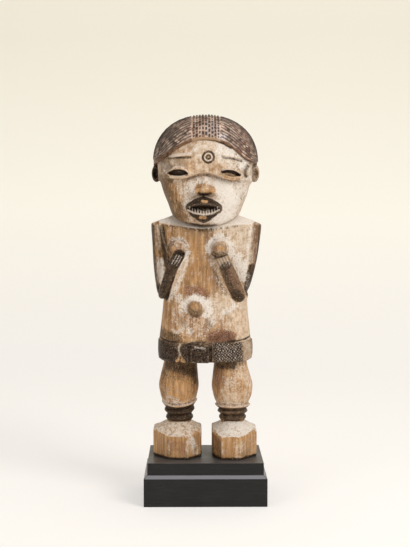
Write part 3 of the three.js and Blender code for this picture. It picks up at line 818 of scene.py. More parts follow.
def mesh_piece(name, points, faces):
    """A mesh object from points in millimetres and faces with the same number of corners."""
    mesh = bpy.data.meshes.new(name)
    points = np.asarray(points, np.float32) * MM
    faces = np.asarray(faces, np.int32)
    mesh.vertices.add(len(points))
    mesh.vertices.foreach_set("co", points.ravel())
    mesh.loops.add(faces.size)
    mesh.loops.foreach_set("vertex_index", faces.ravel())
    mesh.polygons.add(len(faces))
    starts = np.arange(0, faces.size, faces.shape[1], dtype=np.int32)
    mesh.polygons.foreach_set("loop_start", starts)
    mesh.update(calc_edges=True)
    mesh.shade_smooth()
    piece = bpy.data.objects.new(name, mesh)
    bpy.context.scene.collection.objects.link(piece)
    return piece


def settle(piece):
    """Turns what the modifiers make into the piece's own plain mesh."""
    seen = piece.evaluated_get(bpy.context.evaluated_depsgraph_get())
    mesh = bpy.data.meshes.new_from_object(seen)
    piece.modifiers.clear()
    old = piece.data
    piece.data = mesh
    bpy.data.meshes.remove(old)
    mesh.name = piece.name
    mesh.shade_smooth()


def carved(name, block, most):
    """The block's surface as a closed piece of at most that many triangles."""
    grid = openvdb.FloatGrid(AIR)
    grid.copyFromArray(block.wood)
    points, faces = grid.convertToQuads()
    piece = mesh_piece(name, points * block.step + block.low, faces)
    if 2 * len(faces) > most:
        thin = piece.modifiers.new("thin", "DECIMATE")
        thin.ratio = most / (2 * len(faces))
        settle(piece)
    return piece


def read(items, field):
    """A vector field of a mesh's points as rows of x, y and z."""
    values = np.zeros(len(items) * 3, np.float32)
    items.foreach_get(field, values)
    return values.reshape(-1, 3)


def store(piece, name, values):
    """Keeps a value for every point of the mesh under a name that materials can read."""
    field = piece.data.attributes.new(name, "FLOAT", "POINT")
    field.data.foreach_set("value", np.ascontiguousarray(values, np.float32))


def depth_at(block, points):
    """The distance to the surface at any points inside the block, limited to 3 mm."""
    at = (points - block.low) / block.step
    first = np.clip(at.astype(int), 0, np.array(block.wood.shape) - 2)
    rest = np.clip(at - first, 0, 1)
    total = 0
    for corner in np.ndindex(2, 2, 2):
        share = np.prod(np.where(corner, rest, 1 - rest), 1)
        i, j, k = (first + corner).T
        total = total + share * np.clip(block.wood[i, j, k], -3, 3)
    return total


def mark_relief(piece, block):
    """Stores how worn each edge and how sheltered each hollow is."""
    points = read(piece.data.vertices, "co") / MM
    proud = 0
    for way in WAYS:
        for reach in (-FEELER, FEELER):
            proud = proud + depth_at(block, points + reach * np.array(way))
    proud = proud / (2 * len(WAYS) * FEELER)
    store(piece, "worn", ease(proud, 0.05, 0.3))
    store(piece, "hollow", ease(-proud, 0.04, 0.26))


# Node trees


def add_node(tree, kind, inputs=None, **options):
    """Adds a node, sets its options and fills or links its sockets."""
    made = tree.nodes.new(kind)
    for name, value in options.items():
        setattr(made, name, value)
    for name, value in (inputs or {}).items():
        socket = made.inputs[name]
        if isinstance(value, bpy.types.NodeSocket):
            tree.links.new(value, socket)
        else:
            socket.default_value = value
    return made


def sums(tree):
    """A short way to write arithmetic nodes: the operation, then its values or sockets."""

    def work(operation, *values):
        inputs = dict(enumerate(values))
        return add_node(tree, "ShaderNodeMath", inputs, operation=operation).outputs[0]

    return work


def products(tree):
    """Short ways to multiply, to multiply and then add, and to subtract."""
    return [partial(sums(tree), name) for name in ("MULTIPLY", "MULTIPLY_ADD", "SUBTRACT")]


def noise(tree, place, scale, detail=4.0, rough=0.6):
    kind = "ShaderNodeTexNoise"
    inputs = {"Vector": place, "Scale": scale, "Detail": detail, "Roughness": rough}
    return add_node(tree, kind, inputs).outputs[0]


def smooth_step(tree, value, low, high, start=0.0, end=1.0):
    inputs = {0: value, 1: low, 2: high, 3: start, 4: end}
    return add_node(tree, "ShaderNodeMapRange", inputs, interpolation_type="SMOOTHSTEP").outputs[0]


def geometry_tree(name, inputs):
    tree = bpy.data.node_groups.new(name, "GeometryNodeTree")
    tree.interface.new_socket("Geometry", in_out="INPUT", socket_type="NodeSocketGeometry")
    for label, value in inputs.items():
        kind = "NodeSocketInt" if isinstance(value, int) else "NodeSocketFloat"
        socket = tree.interface.new_socket(label, in_out="INPUT", socket_type=kind)
        socket.default_value = value
    tree.interface.new_socket("Geometry", in_out="OUTPUT", socket_type="NodeSocketGeometry")
    return tree, tree.nodes.new("NodeGroupInput")


def finish_tree(tree, geometry, material):
    """Ends a geometry tree: its shape made real, with its material."""
    real = add_node(tree, "GeometryNodeRealizeInstances", {"Geometry": geometry}).outputs[0]
    inputs = {"Geometry": real, "Material": material}
    dressed = add_node(tree, "GeometryNodeSetMaterial", inputs).outputs[0]
    tree.links.new(dressed, tree.nodes.new("NodeGroupOutput").inputs[0])


def run_tree(piece, tree, values):
    """Runs a geometry tree on a piece and keeps what it makes as the piece's plain mesh."""
    modifier = piece.modifiers.new(tree.name, "NODES")
    modifier.node_group = tree
    for item in tree.interface.items_tree:
        if item.in_out == "INPUT" and item.name in values:
            modifier[item.identifier] = values[item.name]
    settle(piece)


# The hair: rows of small cells that run from ear to ear over the crown

DOME = {"middle": (0.4, 2, 391.5), "side": 60.3, "depth": 58, "up": 55.4, "down": 45}
HAIRLINE = [
    (-57, 391.5), (-48.3, 394.6), (-40.6, 400.2), (-32.4, 406.3), (-22, 412.5),
    (-13.2, 415.9), (-2.8, 417.6), (8.1, 417.2), (18, 414.4), (28.7, 408.2),
    (37.5, 401.2), (45.6, 394.6), (54, 391.5),
]
# The width of the plain rim along the hairline, from left to right
RIM = [(-57, 5.6), (-42, 4.4), (-28, 2.8), (-14, 1.6), (14, 1.4), (20, 1.3), (57, 1.4)]
# How far the hairline's edge is rounded back
LIP = 0.9
# The rows of cells from front to back, the points along each row and the lanes across
ROWS, PER_ROW, LANES = 46, 8, 230
# How many times a search halves its span
HALVINGS = 26
# The cells along a row fan out from a point below the dome's middle, each one turn wide
CELL = {"below": 26, "turn": 0.052, "first": 400}
# The panel's columns of pits, from its left side
COLUMN = {"start": -14.8, "width": 3.45, "count": 9}
HAIR_CUTS = {"Row depth": 1.0, "Cut depth": 0.7, "Pit depth": 1.5, "Unevenness": 0.5, "Seed": 5}


def dome_reach(x, angle):
    """How far the dome's surface is from its middle line, at a place across and an angle."""
    across = np.abs(x - DOME["middle"][0]) / DOME["side"]
    rise, run = np.sin(angle), np.cos(angle)
    tall = np.where(rise > 0, DOME["up"], DOME["down"])
    near, far = np.zeros_like(across + angle), np.full_like(across + angle, 80)
    for _ in range(HALVINGS):
        reach = (near + far) / 2
        round_up = (across**2.2 + np.abs(reach * rise / tall) ** 2.2) ** (1 / 2.2)
        inside = round_up**2.8 + np.abs(reach * run / DOME["depth"]) ** 2.8 < 1
        near, far = np.where(inside, reach, near), np.where(inside, far, reach)
    return near


def hairline_angle(x):
    """The angle at which each lane of hair starts, where the dome is as high as the hairline."""
    height = flow(x[:, 0], *np.array(HAIRLINE).T)[:, None] - DOME["middle"][2]
    low, high = np.zeros_like(x), np.full_like(x, math.pi / 2)
    for _ in range(HALVINGS):
        angle = (low + high) / 2
        under = dome_reach(x, angle) * np.sin(angle) < height
        low, high = np.where(under, angle, low), np.where(under, high, angle)
    return low


def hair_mesh():
    """A closed cap: each lane runs from the hairline over the crown and back under the hair."""
    mid_x, mid_y, mid_z = DOME["middle"]

    # The lanes lie closer at the sides, and the rows a little closer at the front
    s = np.linspace(-1, 1, LANES + 2)[1:-1]
    x = (mid_x + DOME["side"] * (0.35 * s + 0.65 * np.sin(s * math.pi / 2)))[:, None]
    start = hairline_angle(x)
    end = math.pi + 0.45 + 0.5 * ease(np.abs(x - mid_x), 56, 40)
    t = np.linspace(0, 1, ROWS * PER_ROW + 1)[None, :]
    angle = start + (end - start) * (0.8 * t + 0.2 * t * t)
    reach = dome_reach(x, angle)
    along = reach * (angle - start)

    # The outside, then three points inside the head: behind the last row and the first
    inside = [(0.72, -1), (0.35, -1), (0.35, 0)]
    lane_reach = [reach - LIP * (1 - ease(along, 0, 1.4))] + [k * reach[:, [i]] for k, i in inside]
    lane_reach = np.concatenate(lane_reach, 1)
    lane_angle = np.concatenate([angle] + [angle[:, [i]] for _, i in inside], 1)
    y, z = mid_y - lane_reach * np.cos(lane_angle), mid_z + lane_reach * np.sin(lane_angle)
    count = y.shape[1]
    points = np.stack([np.broadcast_to(x, y.shape), y, z], 2).reshape(-1, 3)
    end_middles = [(x[i, 0], y[i].mean(), z[i].mean()) for i in (0, -1)]
    lane, row = np.mgrid[0 : LANES - 1, 0:count]
    a, b = lane * count + row, lane * count + (row + 1) % count
    sides = np.stack([a, a + count, b + count, b], 2).reshape(-1, 4)
    first, last, far = len(points), len(points) + 1, (LANES - 1) * count
    k = np.arange(0, count, 2)
    near_cap = np.stack([np.full_like(k, first), k, k + 1, (k + 2) % count], 1)
    far_cap = np.stack([np.full_like(k, last), far + (k + 2) % count, far + k + 1, far + k], 1)
    faces = np.concatenate([sides, near_cap, far_cap])
    piece = mesh_piece("hair", np.concatenate([points, end_middles]), faces)

    # What the cutting tree reads: rows, cells along them, the panel's columns and the plain rim
    rim = flow(x[:, 0], *np.array(RIM).T)[:, None]
    fan = np.arctan2(x - mid_x, z[:, : t.size] - mid_z + CELL["below"])
    fields = {
        "row_at": (0, np.broadcast_to(t * ROWS, angle.shape)),
        "cut_at": (0, fan / CELL["turn"] + CELL["first"]),
        "panel_at": (0, np.broadcast_to((x - COLUMN["start"]) / COLUMN["width"], angle.shape)),
        "plain": (1, 1 - ease(along, rim, rim + 0.9)),
    }
    for name, (elsewhere, values) in fields.items():
        whole = np.full((LANES, count), elsewhere, np.float32)
        whole[:, : t.size] = values
        store(piece, name, np.append(whole.ravel(), [elsewhere, elsewhere]))
    return piece


def hair_tree(material):
    """Cuts the hair's rows, the cells along them and the panel of pits at the front."""
    tree, given = geometry_tree("hair_cuts", HAIR_CUTS)
    row_depth, cut_depth, pit_depth, unevenness, seed = (given.outputs[name] for name in HAIR_CUTS)
    do = sums(tree)
    times, times_plus, minus = products(tree)

    def named(name):
        kind = "GeometryNodeInputNamedAttribute"
        return add_node(tree, kind, {"Name": name}, data_type="FLOAT").outputs[0]

    def random(cell, shift):
        """An even random value from 0 to 1 for each cell."""
        inputs = {2: 0.0, 3: 1.0, "ID": cell, "Seed": do("ADD", seed, shift)}
        return add_node(tree, "FunctionNodeRandomValue", inputs, data_type="FLOAT").outputs[1]

    def crest(value, sharp=1.0):
        """1 in the middle of each cell and 0 at its ends."""
        swing = do("ABSOLUTE", do("SINE", times(value, math.pi)))
        return do("POWER", swing, sharp)

    def choose(share, a, b):
        inputs = {"Factor": share, "A": a, "B": b}
        return add_node(tree, "ShaderNodeMix", inputs, data_type="FLOAT").outputs[0]

    # The rows and the cross cuts that part them into cells
    place = add_node(tree, "GeometryNodeInputPosition").outputs[0]
    row = times_plus(noise(tree, place, 90.0, 2.0, 0.5), 1.1, named("row_at"))
    row_cell = do("FLOOR", row)
    cut = times_plus(random(row_cell, 21.0), 5.0, named("cut_at"))
    cell = times_plus(row_cell, 811.0, do("FLOOR", cut))
    whole = minus(1.0, times(random(cell, 0.0), unevenness))
    row_cut = times(minus(1.0, crest(row, 0.7)), row_depth)
    cross_cut = times(minus(1.0, crest(cut, 0.5)), cut_depth)
    cells = do("MAXIMUM", row_cut, times(cross_cut, whole))
    cells = times_plus(minus(1.0, whole), 0.4, cells)

    # The panel's columns of pits, which are longest in the middle columns
    across = named("panel_at")
    column = do("FLOOR", across)
    middle = COLUMN["count"] / 2
    from_centre = do("ABSOLUTE", minus(column, middle - 0.5))
    inputs = {0: from_centre, 1: 1.0, 2: 4.0, 3: 0.62, 4: 1.05}
    per_row = add_node(tree, "ShaderNodeMapRange", inputs).outputs[0]
    pit_at = times_plus(named("row_at"), per_row, random(column, 3.0))
    pit_cell = times_plus(column, 57.0, do("FLOOR", pit_at))
    deep = minus(1.0, times(random(pit_cell, 7.0), unevenness))
    sides = smooth_step(tree, crest(across), 0.45, 0.8)
    ends = smooth_step(tree, crest(pit_at), 0.4, 0.75, 0.15, 1.0)
    pits = times(times(sides, ends), times(deep, pit_depth))

    # Which of the two is cut where, with an uncut border beside the panel
    from_middle = do("ABSOLUTE", minus(across, middle))
    inside = do("LESS_THAN", from_middle, middle)
    border_gap = do("ABSOLUTE", minus(from_middle, middle + 0.12))
    border = smooth_step(tree, border_gap, 0.12, 0.3, 1.0, 0.0)
    cutting = choose(inside, cells, pits)
    for uncut in (border, named("plain")):
        cutting = times(cutting, minus(1.0, uncut))
    tone = choose(inside, random(cell, 31.0), random(pit_cell, 37.0))

    # The lines between rows and cells, and the panel's dots, stand out from the dome
    normal = add_node(tree, "GeometryNodeInputNormal").outputs[0]
    inputs = {0: normal, "Scale": times(cutting, MM)}
    way = add_node(tree, "ShaderNodeVectorMath", inputs, operation="SCALE").outputs[0]
    inputs = {"Geometry": given.outputs["Geometry"], "Offset": way}
    shape = add_node(tree, "GeometryNodeSetPosition", inputs).outputs[0]
    for name, value in (("cut", cutting), ("tone", tone)):
        inputs = {"Geometry": shape, "Name": name, "Value": value}
        kind = "GeometryNodeStoreNamedAttribute"
        shape = add_node(tree, kind, inputs, data_type="FLOAT", domain="POINT").outputs[0]
    finish_tree(tree, shape, material)
    return tree


def make_hair(material):
    hair = hair_mesh()
    x, y, z = (read(hair.data.vertices, "co") / MM).T
    front = ease(y, 0, -10)

    def patch(place, size):
        return spot(x, z, place, size) * front

    rust = 0.55 * ease(x, 10, 40) * front + 0.3 * patch((-24, 436), (16, 10))
    crust = 0.6 * patch((-44, 404), (14, 14)) + 0.5 * patch((-40, 424), (11, 11))
    store(hair, "panel", ease(np.abs(x - 0.75), 16.4, 15.4) * ease(y, 26, -4))
    store(hair, "rust", 0.35 + rust)
    store(hair, "crust", 0.35 + crust + 0.4 * ease(y, 0, 20))
    # A painted sheen near the panel's right, and a fainter one above it
    store(hair, "dust", np.maximum(0.9 * patch((19, 420), (5, 4)), 0.35 * patch((8, 430), (9, 9))))
    run_tree(hair, hair_tree(material), HAIR_CUTS)
    return hair


# The plinth

PLINTH_SIZES = {name.capitalize(): size * MM for name, size in PLINTH.items()}
PLINTH_EDGE = 0.6


def plinth_tree(material):
    """Builds the plinth: a block, a chamfer in to the tier and the tier's wall."""
    tree, given = geometry_tree("plinth_form", PLINTH_SIZES)
    do = sums(tree)
    width, depth, wall, chamfer, height = (given.outputs[name] for name in PLINTH_SIZES)

    def vector(**parts):
        return add_node(tree, "ShaderNodeCombineXYZ", parts).outputs[0]

    def raised(mesh, top, rise):
        """The mesh with its top drawn up, and where the new top is."""
        inputs = {
            "Mesh": mesh,
            "Selection": top,
            "Offset": vector(Z=rise),
            "Offset Scale": 1.0,
            "Individual": False,
        }
        made = add_node(tree, "GeometryNodeExtrudeMesh", inputs)
        return made.outputs["Mesh"], made.outputs["Top"]

    cube = add_node(tree, "GeometryNodeMeshCube", {"Size": vector(X=width, Y=depth, Z=wall)})
    inputs = {"Geometry": cube.outputs[0], "Translation": vector(Z=do("DIVIDE", wall, 2.0))}
    block = add_node(tree, "GeometryNodeTransform", inputs).outputs[0]
    normal = add_node(tree, "GeometryNodeInputNormal").outputs[0]
    upward = add_node(tree, "ShaderNodeSeparateXYZ", {0: normal}).outputs["Z"]
    slope, top = raised(block, do("GREATER_THAN", upward, 0.9), chamfer)
    both_sides = do("MULTIPLY", chamfer, 2.0)
    across, along = (do("DIVIDE", do("SUBTRACT", size, both_sides), size) for size in (width, depth))
    place = add_node(tree, "GeometryNodeInputPosition").outputs[0]
    inputs = {0: place, 1: vector(X=across, Y=along, Z=1.0)}
    inward = add_node(tree, "ShaderNodeVectorMath", inputs, operation="MULTIPLY").outputs[0]
    inputs = {"Geometry": slope, "Selection": top, "Position": inward}
    chamfered = add_node(tree, "GeometryNodeSetPosition", inputs).outputs[0]
    tier, _ = raised(chamfered, top, do("SUBTRACT", height, do("ADD", wall, chamfer)))
    finish_tree(tree, tier, material)
    return tree


def make_plinth(material):
    # The tree makes the whole plinth and uses nothing of this first triangle
    plinth = mesh_piece("plinth", [(0, 0, 0), (1, 0, 0), (0, 1, 0)], [(0, 1, 2)])
    run_tree(plinth, plinth_tree(material), PLINTH_SIZES)
    edges = plinth.modifiers.new("worn_edges", "BEVEL")
    edges.width, edges.segments = PLINTH_EDGE * MM, 3
    settle(plinth)
    # The faces that look up get painted light, and the chamfer's faces a painted highlight
    upper = plinth.data.attributes.new("upper", "FLOAT", "FACE")
    chamfer = plinth.data.attributes.new("chamfer", "FLOAT", "FACE")
    for face, top_light, light in zip(plinth.data.polygons, upper.data, chamfer.data):
        face.use_smooth = False
        top_light.value = ease(face.normal.z, 0.2, 0.7)
        # The chamfer's faces take a painted highlight
        is_chamfer = 0.5 < face.normal.z < 0.85 and face.area > 0.00005
        light.value = 1.0 if is_chamfer else 0.0
    return plinth


# Materials

# Colours, darkest first where a finish runs between two
BARE = ((0.205, 0.113, 0.05), (0.49, 0.312, 0.168))
BARE_PALE = (0.47, 0.32, 0.20)
BARE_FLECK = (0.18, 0.092, 0.042)
# Stain, also used for painted shade
STAIN_AND_SHADE = ((0.045, 0.025, 0.011), (0.22, 0.125, 0.058))
# Worn gold, also used for painted highlights
GOLD_AND_HIGHLIGHT = ((0.32, 0.152, 0.052), (0.60, 0.35, 0.155))
RUST = ((0.07, 0.028, 0.017), (0.38, 0.175, 0.095))
# Dirt and painted shade in the hollows
HOLLOW_SHADE_AND_DIRT = (0.055, 0.034, 0.02)
# Thin clay film, also used for a painted highlight
FILM_AND_HIGHLIGHT = ((0.47, 0.31, 0.19), (0.85, 0.68, 0.51))
FILM_GREY = (0.60, 0.55, 0.45)
CLAY = ((0.69, 0.60, 0.50), (0.94, 0.88, 0.81))
# Crust, also used for painted shade
CRUST_AND_SHADE = ((0.005, 0.003, 0.002), (0.05, 0.025, 0.011))
WORN_EDGE = (0.60, 0.41, 0.25)
# Dust, also used for a painted highlight
DUST_AND_SHEEN = (0.70, 0.60, 0.52)
HAIR_CREST = ((0.075, 0.042, 0.026), (0.76, 0.56, 0.42))
HAIR_RED = (0.24, 0.105, 0.07)
HAIR_GREY = (0.062, 0.045, 0.033)
HAIR_PANEL = ((0.17, 0.085, 0.047), (0.55, 0.39, 0.29))
HAIR_RIM = ((0.03, 0.013, 0.006), (0.26, 0.13, 0.058))
HAIR_RIM_PALE = (0.58, 0.38, 0.22)
HAIR_SHEEN = (0.70, 0.66, 0.68)
HAIR_CUT = (0.018, 0.012, 0.009)
BLACK = ((0.0035, 0.0032, 0.0028), (0.0115, 0.0105, 0.009))
BLACK_RUBBED = (0.03, 0.028, 0.026)
# Painted light on the plinth's top faces
BLACK_TOP_LIGHT = (0.080, 0.073, 0.070)
# A painted highlight on the chamfer
BLACK_CHAMFER_HIGHLIGHT = (0.19, 0.185, 0.2)


def new_material(name):
    material = bpy.data.materials.new(name)
    material.use_nodes = True
    return material, material.node_tree


def dress(tree, colour, rough, gloss, rise, strength, depth):
    """Links a finish to its shader. Its gloss is the same all over, and its bump is depth metres."""
    shader = tree.nodes["Principled BSDF"]
    bump = add_node(tree, "ShaderNodeBump", {"Height": rise, "Strength": strength, "Distance": depth})
    for socket, value in (("Base Color", colour), ("Roughness", rough), ("Normal", bump.outputs[0])):
        tree.links.new(value, shader.inputs[socket])
    shader.inputs["Specular IOR Level"].default_value = gloss


def stretched(tree, scale):
    """Object coordinates times a scale: 1000 gives millimetres, and less draws the grain out."""
    place = add_node(tree, "ShaderNodeTexCoord").outputs["Object"]
    return add_node(tree, "ShaderNodeMapping", {"Vector": place, "Scale": scale}).outputs[0]


def attribute(tree, name):
    return add_node(tree, "ShaderNodeAttribute", attribute_name=name).outputs["Fac"]


def mixed(tree, share, a, b):
    """A colour between two others, each a socket or three plain numbers."""
    made = add_node(tree, "ShaderNodeMix", {"Factor": share}, data_type="RGBA")
    for socket, value in ((made.inputs[6], a), (made.inputs[7], b)):
        if isinstance(value, bpy.types.NodeSocket):
            tree.links.new(value, socket)
        else:
            socket.default_value = (*value, 1)
    return made.outputs[2]


def ramp(tree, value, stops):
    """A colour that changes with a value, through stops of a level and a colour."""
    made = add_node(tree, "ShaderNodeValToRGB", {"Fac": value})
    elements = made.color_ramp.elements
    while len(elements) < len(stops):
        elements.new(0.4)
    for element, (level, colour) in zip(elements, stops):
        element.position, element.color = level, (*colour, 1)
    return made.outputs[0]


def two_tone(tree, value, low, high, tones):
    """A colour that goes from the first tone to the second as a value rises."""
    return ramp(tree, value, list(zip((low, high), tones)))


def aged_wood():
    """Old hand-cut wood: bare grain, stains, worn golden brown, rust red, thin and thick clay, black crusts
    and dusting. Several of these also paint shade and highlights, and the hollows are darkened with grime
    and painted shade.
    """
    material, tree = new_material("aged_wood")
    times, times_plus, minus = products(tree)
    place = stretched(tree, (1000, 1000, 1000))
    along_grain = stretched(tree, (1000, 1000, 80))
    broad = noise(tree, place, 0.05, 3.0)
    noises = {
        "patch": noise(tree, place, 0.19, 5.0, 0.68),
        "fleck": noise(tree, place, 0.62, 4.0, 0.7),
        "grit": noise(tree, place, 1.7, 2.0),
        "fibre": noise(tree, along_grain, 0.36, 5.0, 0.65),
        "streak": noise(tree, along_grain, 1.1, 3.0),
    }
    patch, fleck, grit, fibre, streak = noises.values()

    def broken(name, low=0.2, high=0.8, **shares):
        """Where a pigment shows: its share of the place, broken up by the noises."""
        spread = 1.9
        value = attribute(tree, name)
        for label, share in shares.items():
            value = times_plus(noises[label], spread * share, value)
        shift = spread * sum(shares.values()) / 2
        return smooth_step(tree, value, low + shift, high + shift)

    bare = two_tone(tree, fibre, 0.36, 0.64, BARE)
    bare = mixed(tree, smooth_step(tree, broad, 0.42, 0.6, 0.0, 0.4), bare, BARE_PALE)
    bare = mixed(tree, smooth_step(tree, fleck, 0.51, 0.62, 0.0, 0.75), bare, BARE_FLECK)
    # Stain, which strokes and layers also lay as painted shade
    stained = two_tone(tree, streak, 0.38, 0.62, STAIN_AND_SHADE)
    colour = mixed(tree, broken("stain", patch=0.8, fibre=0.7, fleck=0.9), bare, stained)
    # Worn gold, which strokes also lay as painted highlights on the lips and the nose
    gold_and_highlight_tone = two_tone(tree, fibre, 0.36, 0.64, GOLD_AND_HIGHLIGHT)
    colour = mixed(tree, broken("glow", patch=0.9, fibre=0.5, fleck=0.8), colour, gold_and_highlight_tone)
    red = two_tone(tree, fleck, 0.4, 0.6, RUST)
    colour = mixed(tree, broken("rust", patch=0.7, fleck=0.9, grit=0.7), colour, red)
    # Dirt and painted shade darken the hollows, broken up by the patches
    hollow_shade_and_dirt = times(attribute(tree, "hollow"), smooth_step(tree, patch, 0.32, 0.6, 0.4, 0.9))
    colour = mixed(tree, hollow_shade_and_dirt, colour, HOLLOW_SHADE_AND_DIRT)
    uneven = times_plus(fleck, 0.2, times(streak, 0.3))
    # Thin clay film, which a stroke also lays as a painted highlight along the visor's edge
    film = two_tone(tree, times_plus(patch, 0.5, uneven), 0.4, 0.6, FILM_AND_HIGHLIGHT)
    film = mixed(tree, smooth_step(tree, broad, 0.5, 0.64, 0.0, 0.25), film, FILM_GREY)
    film_and_highlight_at = broken("film", 0.15, 0.85, patch=0.9, fibre=0.5, fleck=0.6)
    colour = mixed(tree, times(film_and_highlight_at, 0.9), colour, film)
    clay_at = times(broken("clay", patch=0.7, fleck=1.0, grit=0.6, streak=0.5), 0.94)
    colour = mixed(tree, clay_at, colour, two_tone(tree, grit, 0.34, 0.62, CLAY))
    # Crust, which strokes and layers also lay as painted shade
    crust_and_shade_at = broken("crust", patch=0.6, fleck=1.0, grit=0.6)
    colour = mixed(tree, crust_and_shade_at, colour, two_tone(tree, fleck, 0.4, 0.62, CRUST_AND_SHADE))
    edge = times(attribute(tree, "worn"), smooth_step(tree, fleck, 0.4, 0.58, 0.1, 0.85))
    edge = times(edge, times_plus(attribute(tree, "crust"), -0.85, 1.0))
    colour = mixed(tree, edge, colour, WORN_EDGE)
    colour = mixed(tree, broken("dust", fleck=0.9, grit=0.9), colour, DUST_AND_SHEEN)

    rough = times_plus(crust_and_shade_at, -0.06, times_plus(clay_at, 0.3, 0.5))
    rough = times_plus(fleck, 0.2, minus(rough, 0.1))
    rise = times_plus(fibre, 0.7, times(fleck, 0.3))
    rise = times_plus(clay_at, 0.25, times_plus(grit, 0.2, rise))
    dress(tree, colour, rough, 0.12, rise, 0.7, 0.0008)
    return material


def rubbed_hair():
    """The hair: dark stained wood with tan rubbed crests, red wear, black cuts and a painted sheen."""
    material, tree = new_material("rubbed_hair")
    times, times_plus, minus = products(tree)
    place = stretched(tree, (1000, 1000, 1000))
    broad = noise(tree, place, 0.055, 3.0)
    patch = noise(tree, place, 0.2, 5.0, 0.65)
    fleck = noise(tree, place, 0.75, 3.0, 0.65)
    fields = ("cut", "plain", "panel", "tone", "rust", "crust", "dust")
    cut, plain, panel, tone, rust, crust, dust = (attribute(tree, name) for name in fields)

    lit = times_plus(patch, 1.6, minus(tone, 0.8))
    colour = two_tone(tree, lit, 0.02, 0.72, HAIR_CREST)
    red = times(rust, smooth_step(tree, patch, 0.4, 0.56))
    colour = mixed(tree, times(red, 0.8), colour, HAIR_RED)
    grey = times(crust, smooth_step(tree, broad, 0.38, 0.56))
    colour = mixed(tree, times(grey, 0.85), colour, HAIR_GREY)
    lit = times_plus(fleck, 1.2, minus(tone, 0.6))
    colour = mixed(tree, panel, colour, two_tone(tree, lit, 0.1, 0.9, HAIR_PANEL))
    worn = times_plus(fleck, 0.5, times(patch, 0.5))
    rim = two_tone(tree, worn, 0.42, 0.6, HAIR_RIM)
    rim = mixed(tree, times(panel, 0.6), rim, HAIR_RIM_PALE)
    colour = mixed(tree, plain, colour, rim)
    # A painted sheen: pale bluish highlights where that share is set
    sheen = times(dust, smooth_step(tree, fleck, 0.42, 0.58))
    colour = mixed(tree, sheen, colour, HAIR_SHEEN)
    deep = smooth_step(tree, cut, 0.25, 0.75)
    colour = mixed(tree, times(deep, 0.9), colour, HAIR_CUT)
    rise = times_plus(fleck, 0.6, patch)
    dress(tree, colour, times_plus(fleck, 0.3, 0.32), 0.35, rise, 0.4, 0.0005)
    return material


def ebonised_wood():
    """Satin black stained wood with level grain and a little rubbed grey, painted lighter on its top faces
    and with a painted highlight on its chamfer.
    """
    material, tree = new_material("ebonised_wood")
    do = sums(tree)
    grain = noise(tree, stretched(tree, (60, 60, 1000)), 0.55, 6.0, 0.7)
    fine = noise(tree, stretched(tree, (110, 110, 1000)), 2.2, 3.0)
    wear = noise(tree, stretched(tree, (1000, 1000, 1000)), 0.03, 4.0)
    colour = two_tone(tree, grain, 0.4, 0.66, BLACK)
    rubbed = do("MULTIPLY", smooth_step(tree, wear, 0.45, 0.7), smooth_step(tree, fine, 0.5, 0.66))
    colour = mixed(tree, do("MULTIPLY", rubbed, 0.4), colour, BLACK_RUBBED)
    # Painted light from above on the faces that look up, varied by the grain
    top_light = do("MULTIPLY", attribute(tree, "upper"), smooth_step(tree, grain, 0.3, 0.7, 0.55, 1.0))
    colour = mixed(tree, top_light, colour, BLACK_TOP_LIGHT)
    # A painted highlight on the chamfer's faces
    colour = mixed(tree, attribute(tree, "chamfer"), colour, BLACK_CHAMFER_HIGHLIGHT)
    rise = do("ADD", grain, do("MULTIPLY", fine, 0.5))
    dress(tree, colour, smooth_step(tree, grain, 0.3, 0.7, 0.34, 0.5), 0.35, rise, 0.3, 0.0004)
    return material


# Paint. Each row is the points of a stroke in the front view and its coats. A coat is a pigment,
# how much of it, half the stroke's width and the width of its soft edge.

# The pigments. Stain and crust also carry painted shade, and gold, film and dust also carry painted
# highlights and sheen
PIGMENTS = ("film", "clay", "stain", "rust", "glow", "crust", "dust")
# The photograph in its own pixels: its middle column, a row whose height above the floor is known
# in millimetres, the picture's height, the focal length, and the camera's distance in millimetres
PHOTO = {"column": 205, "row": 200, "row_level": 349, "height": 547, "focal": 1176, "away": 1388}
# How far forward the painted front of each part is
FRONTS = {"head": -54, "trunk": -39, "waistband": -38, "legs": -24}
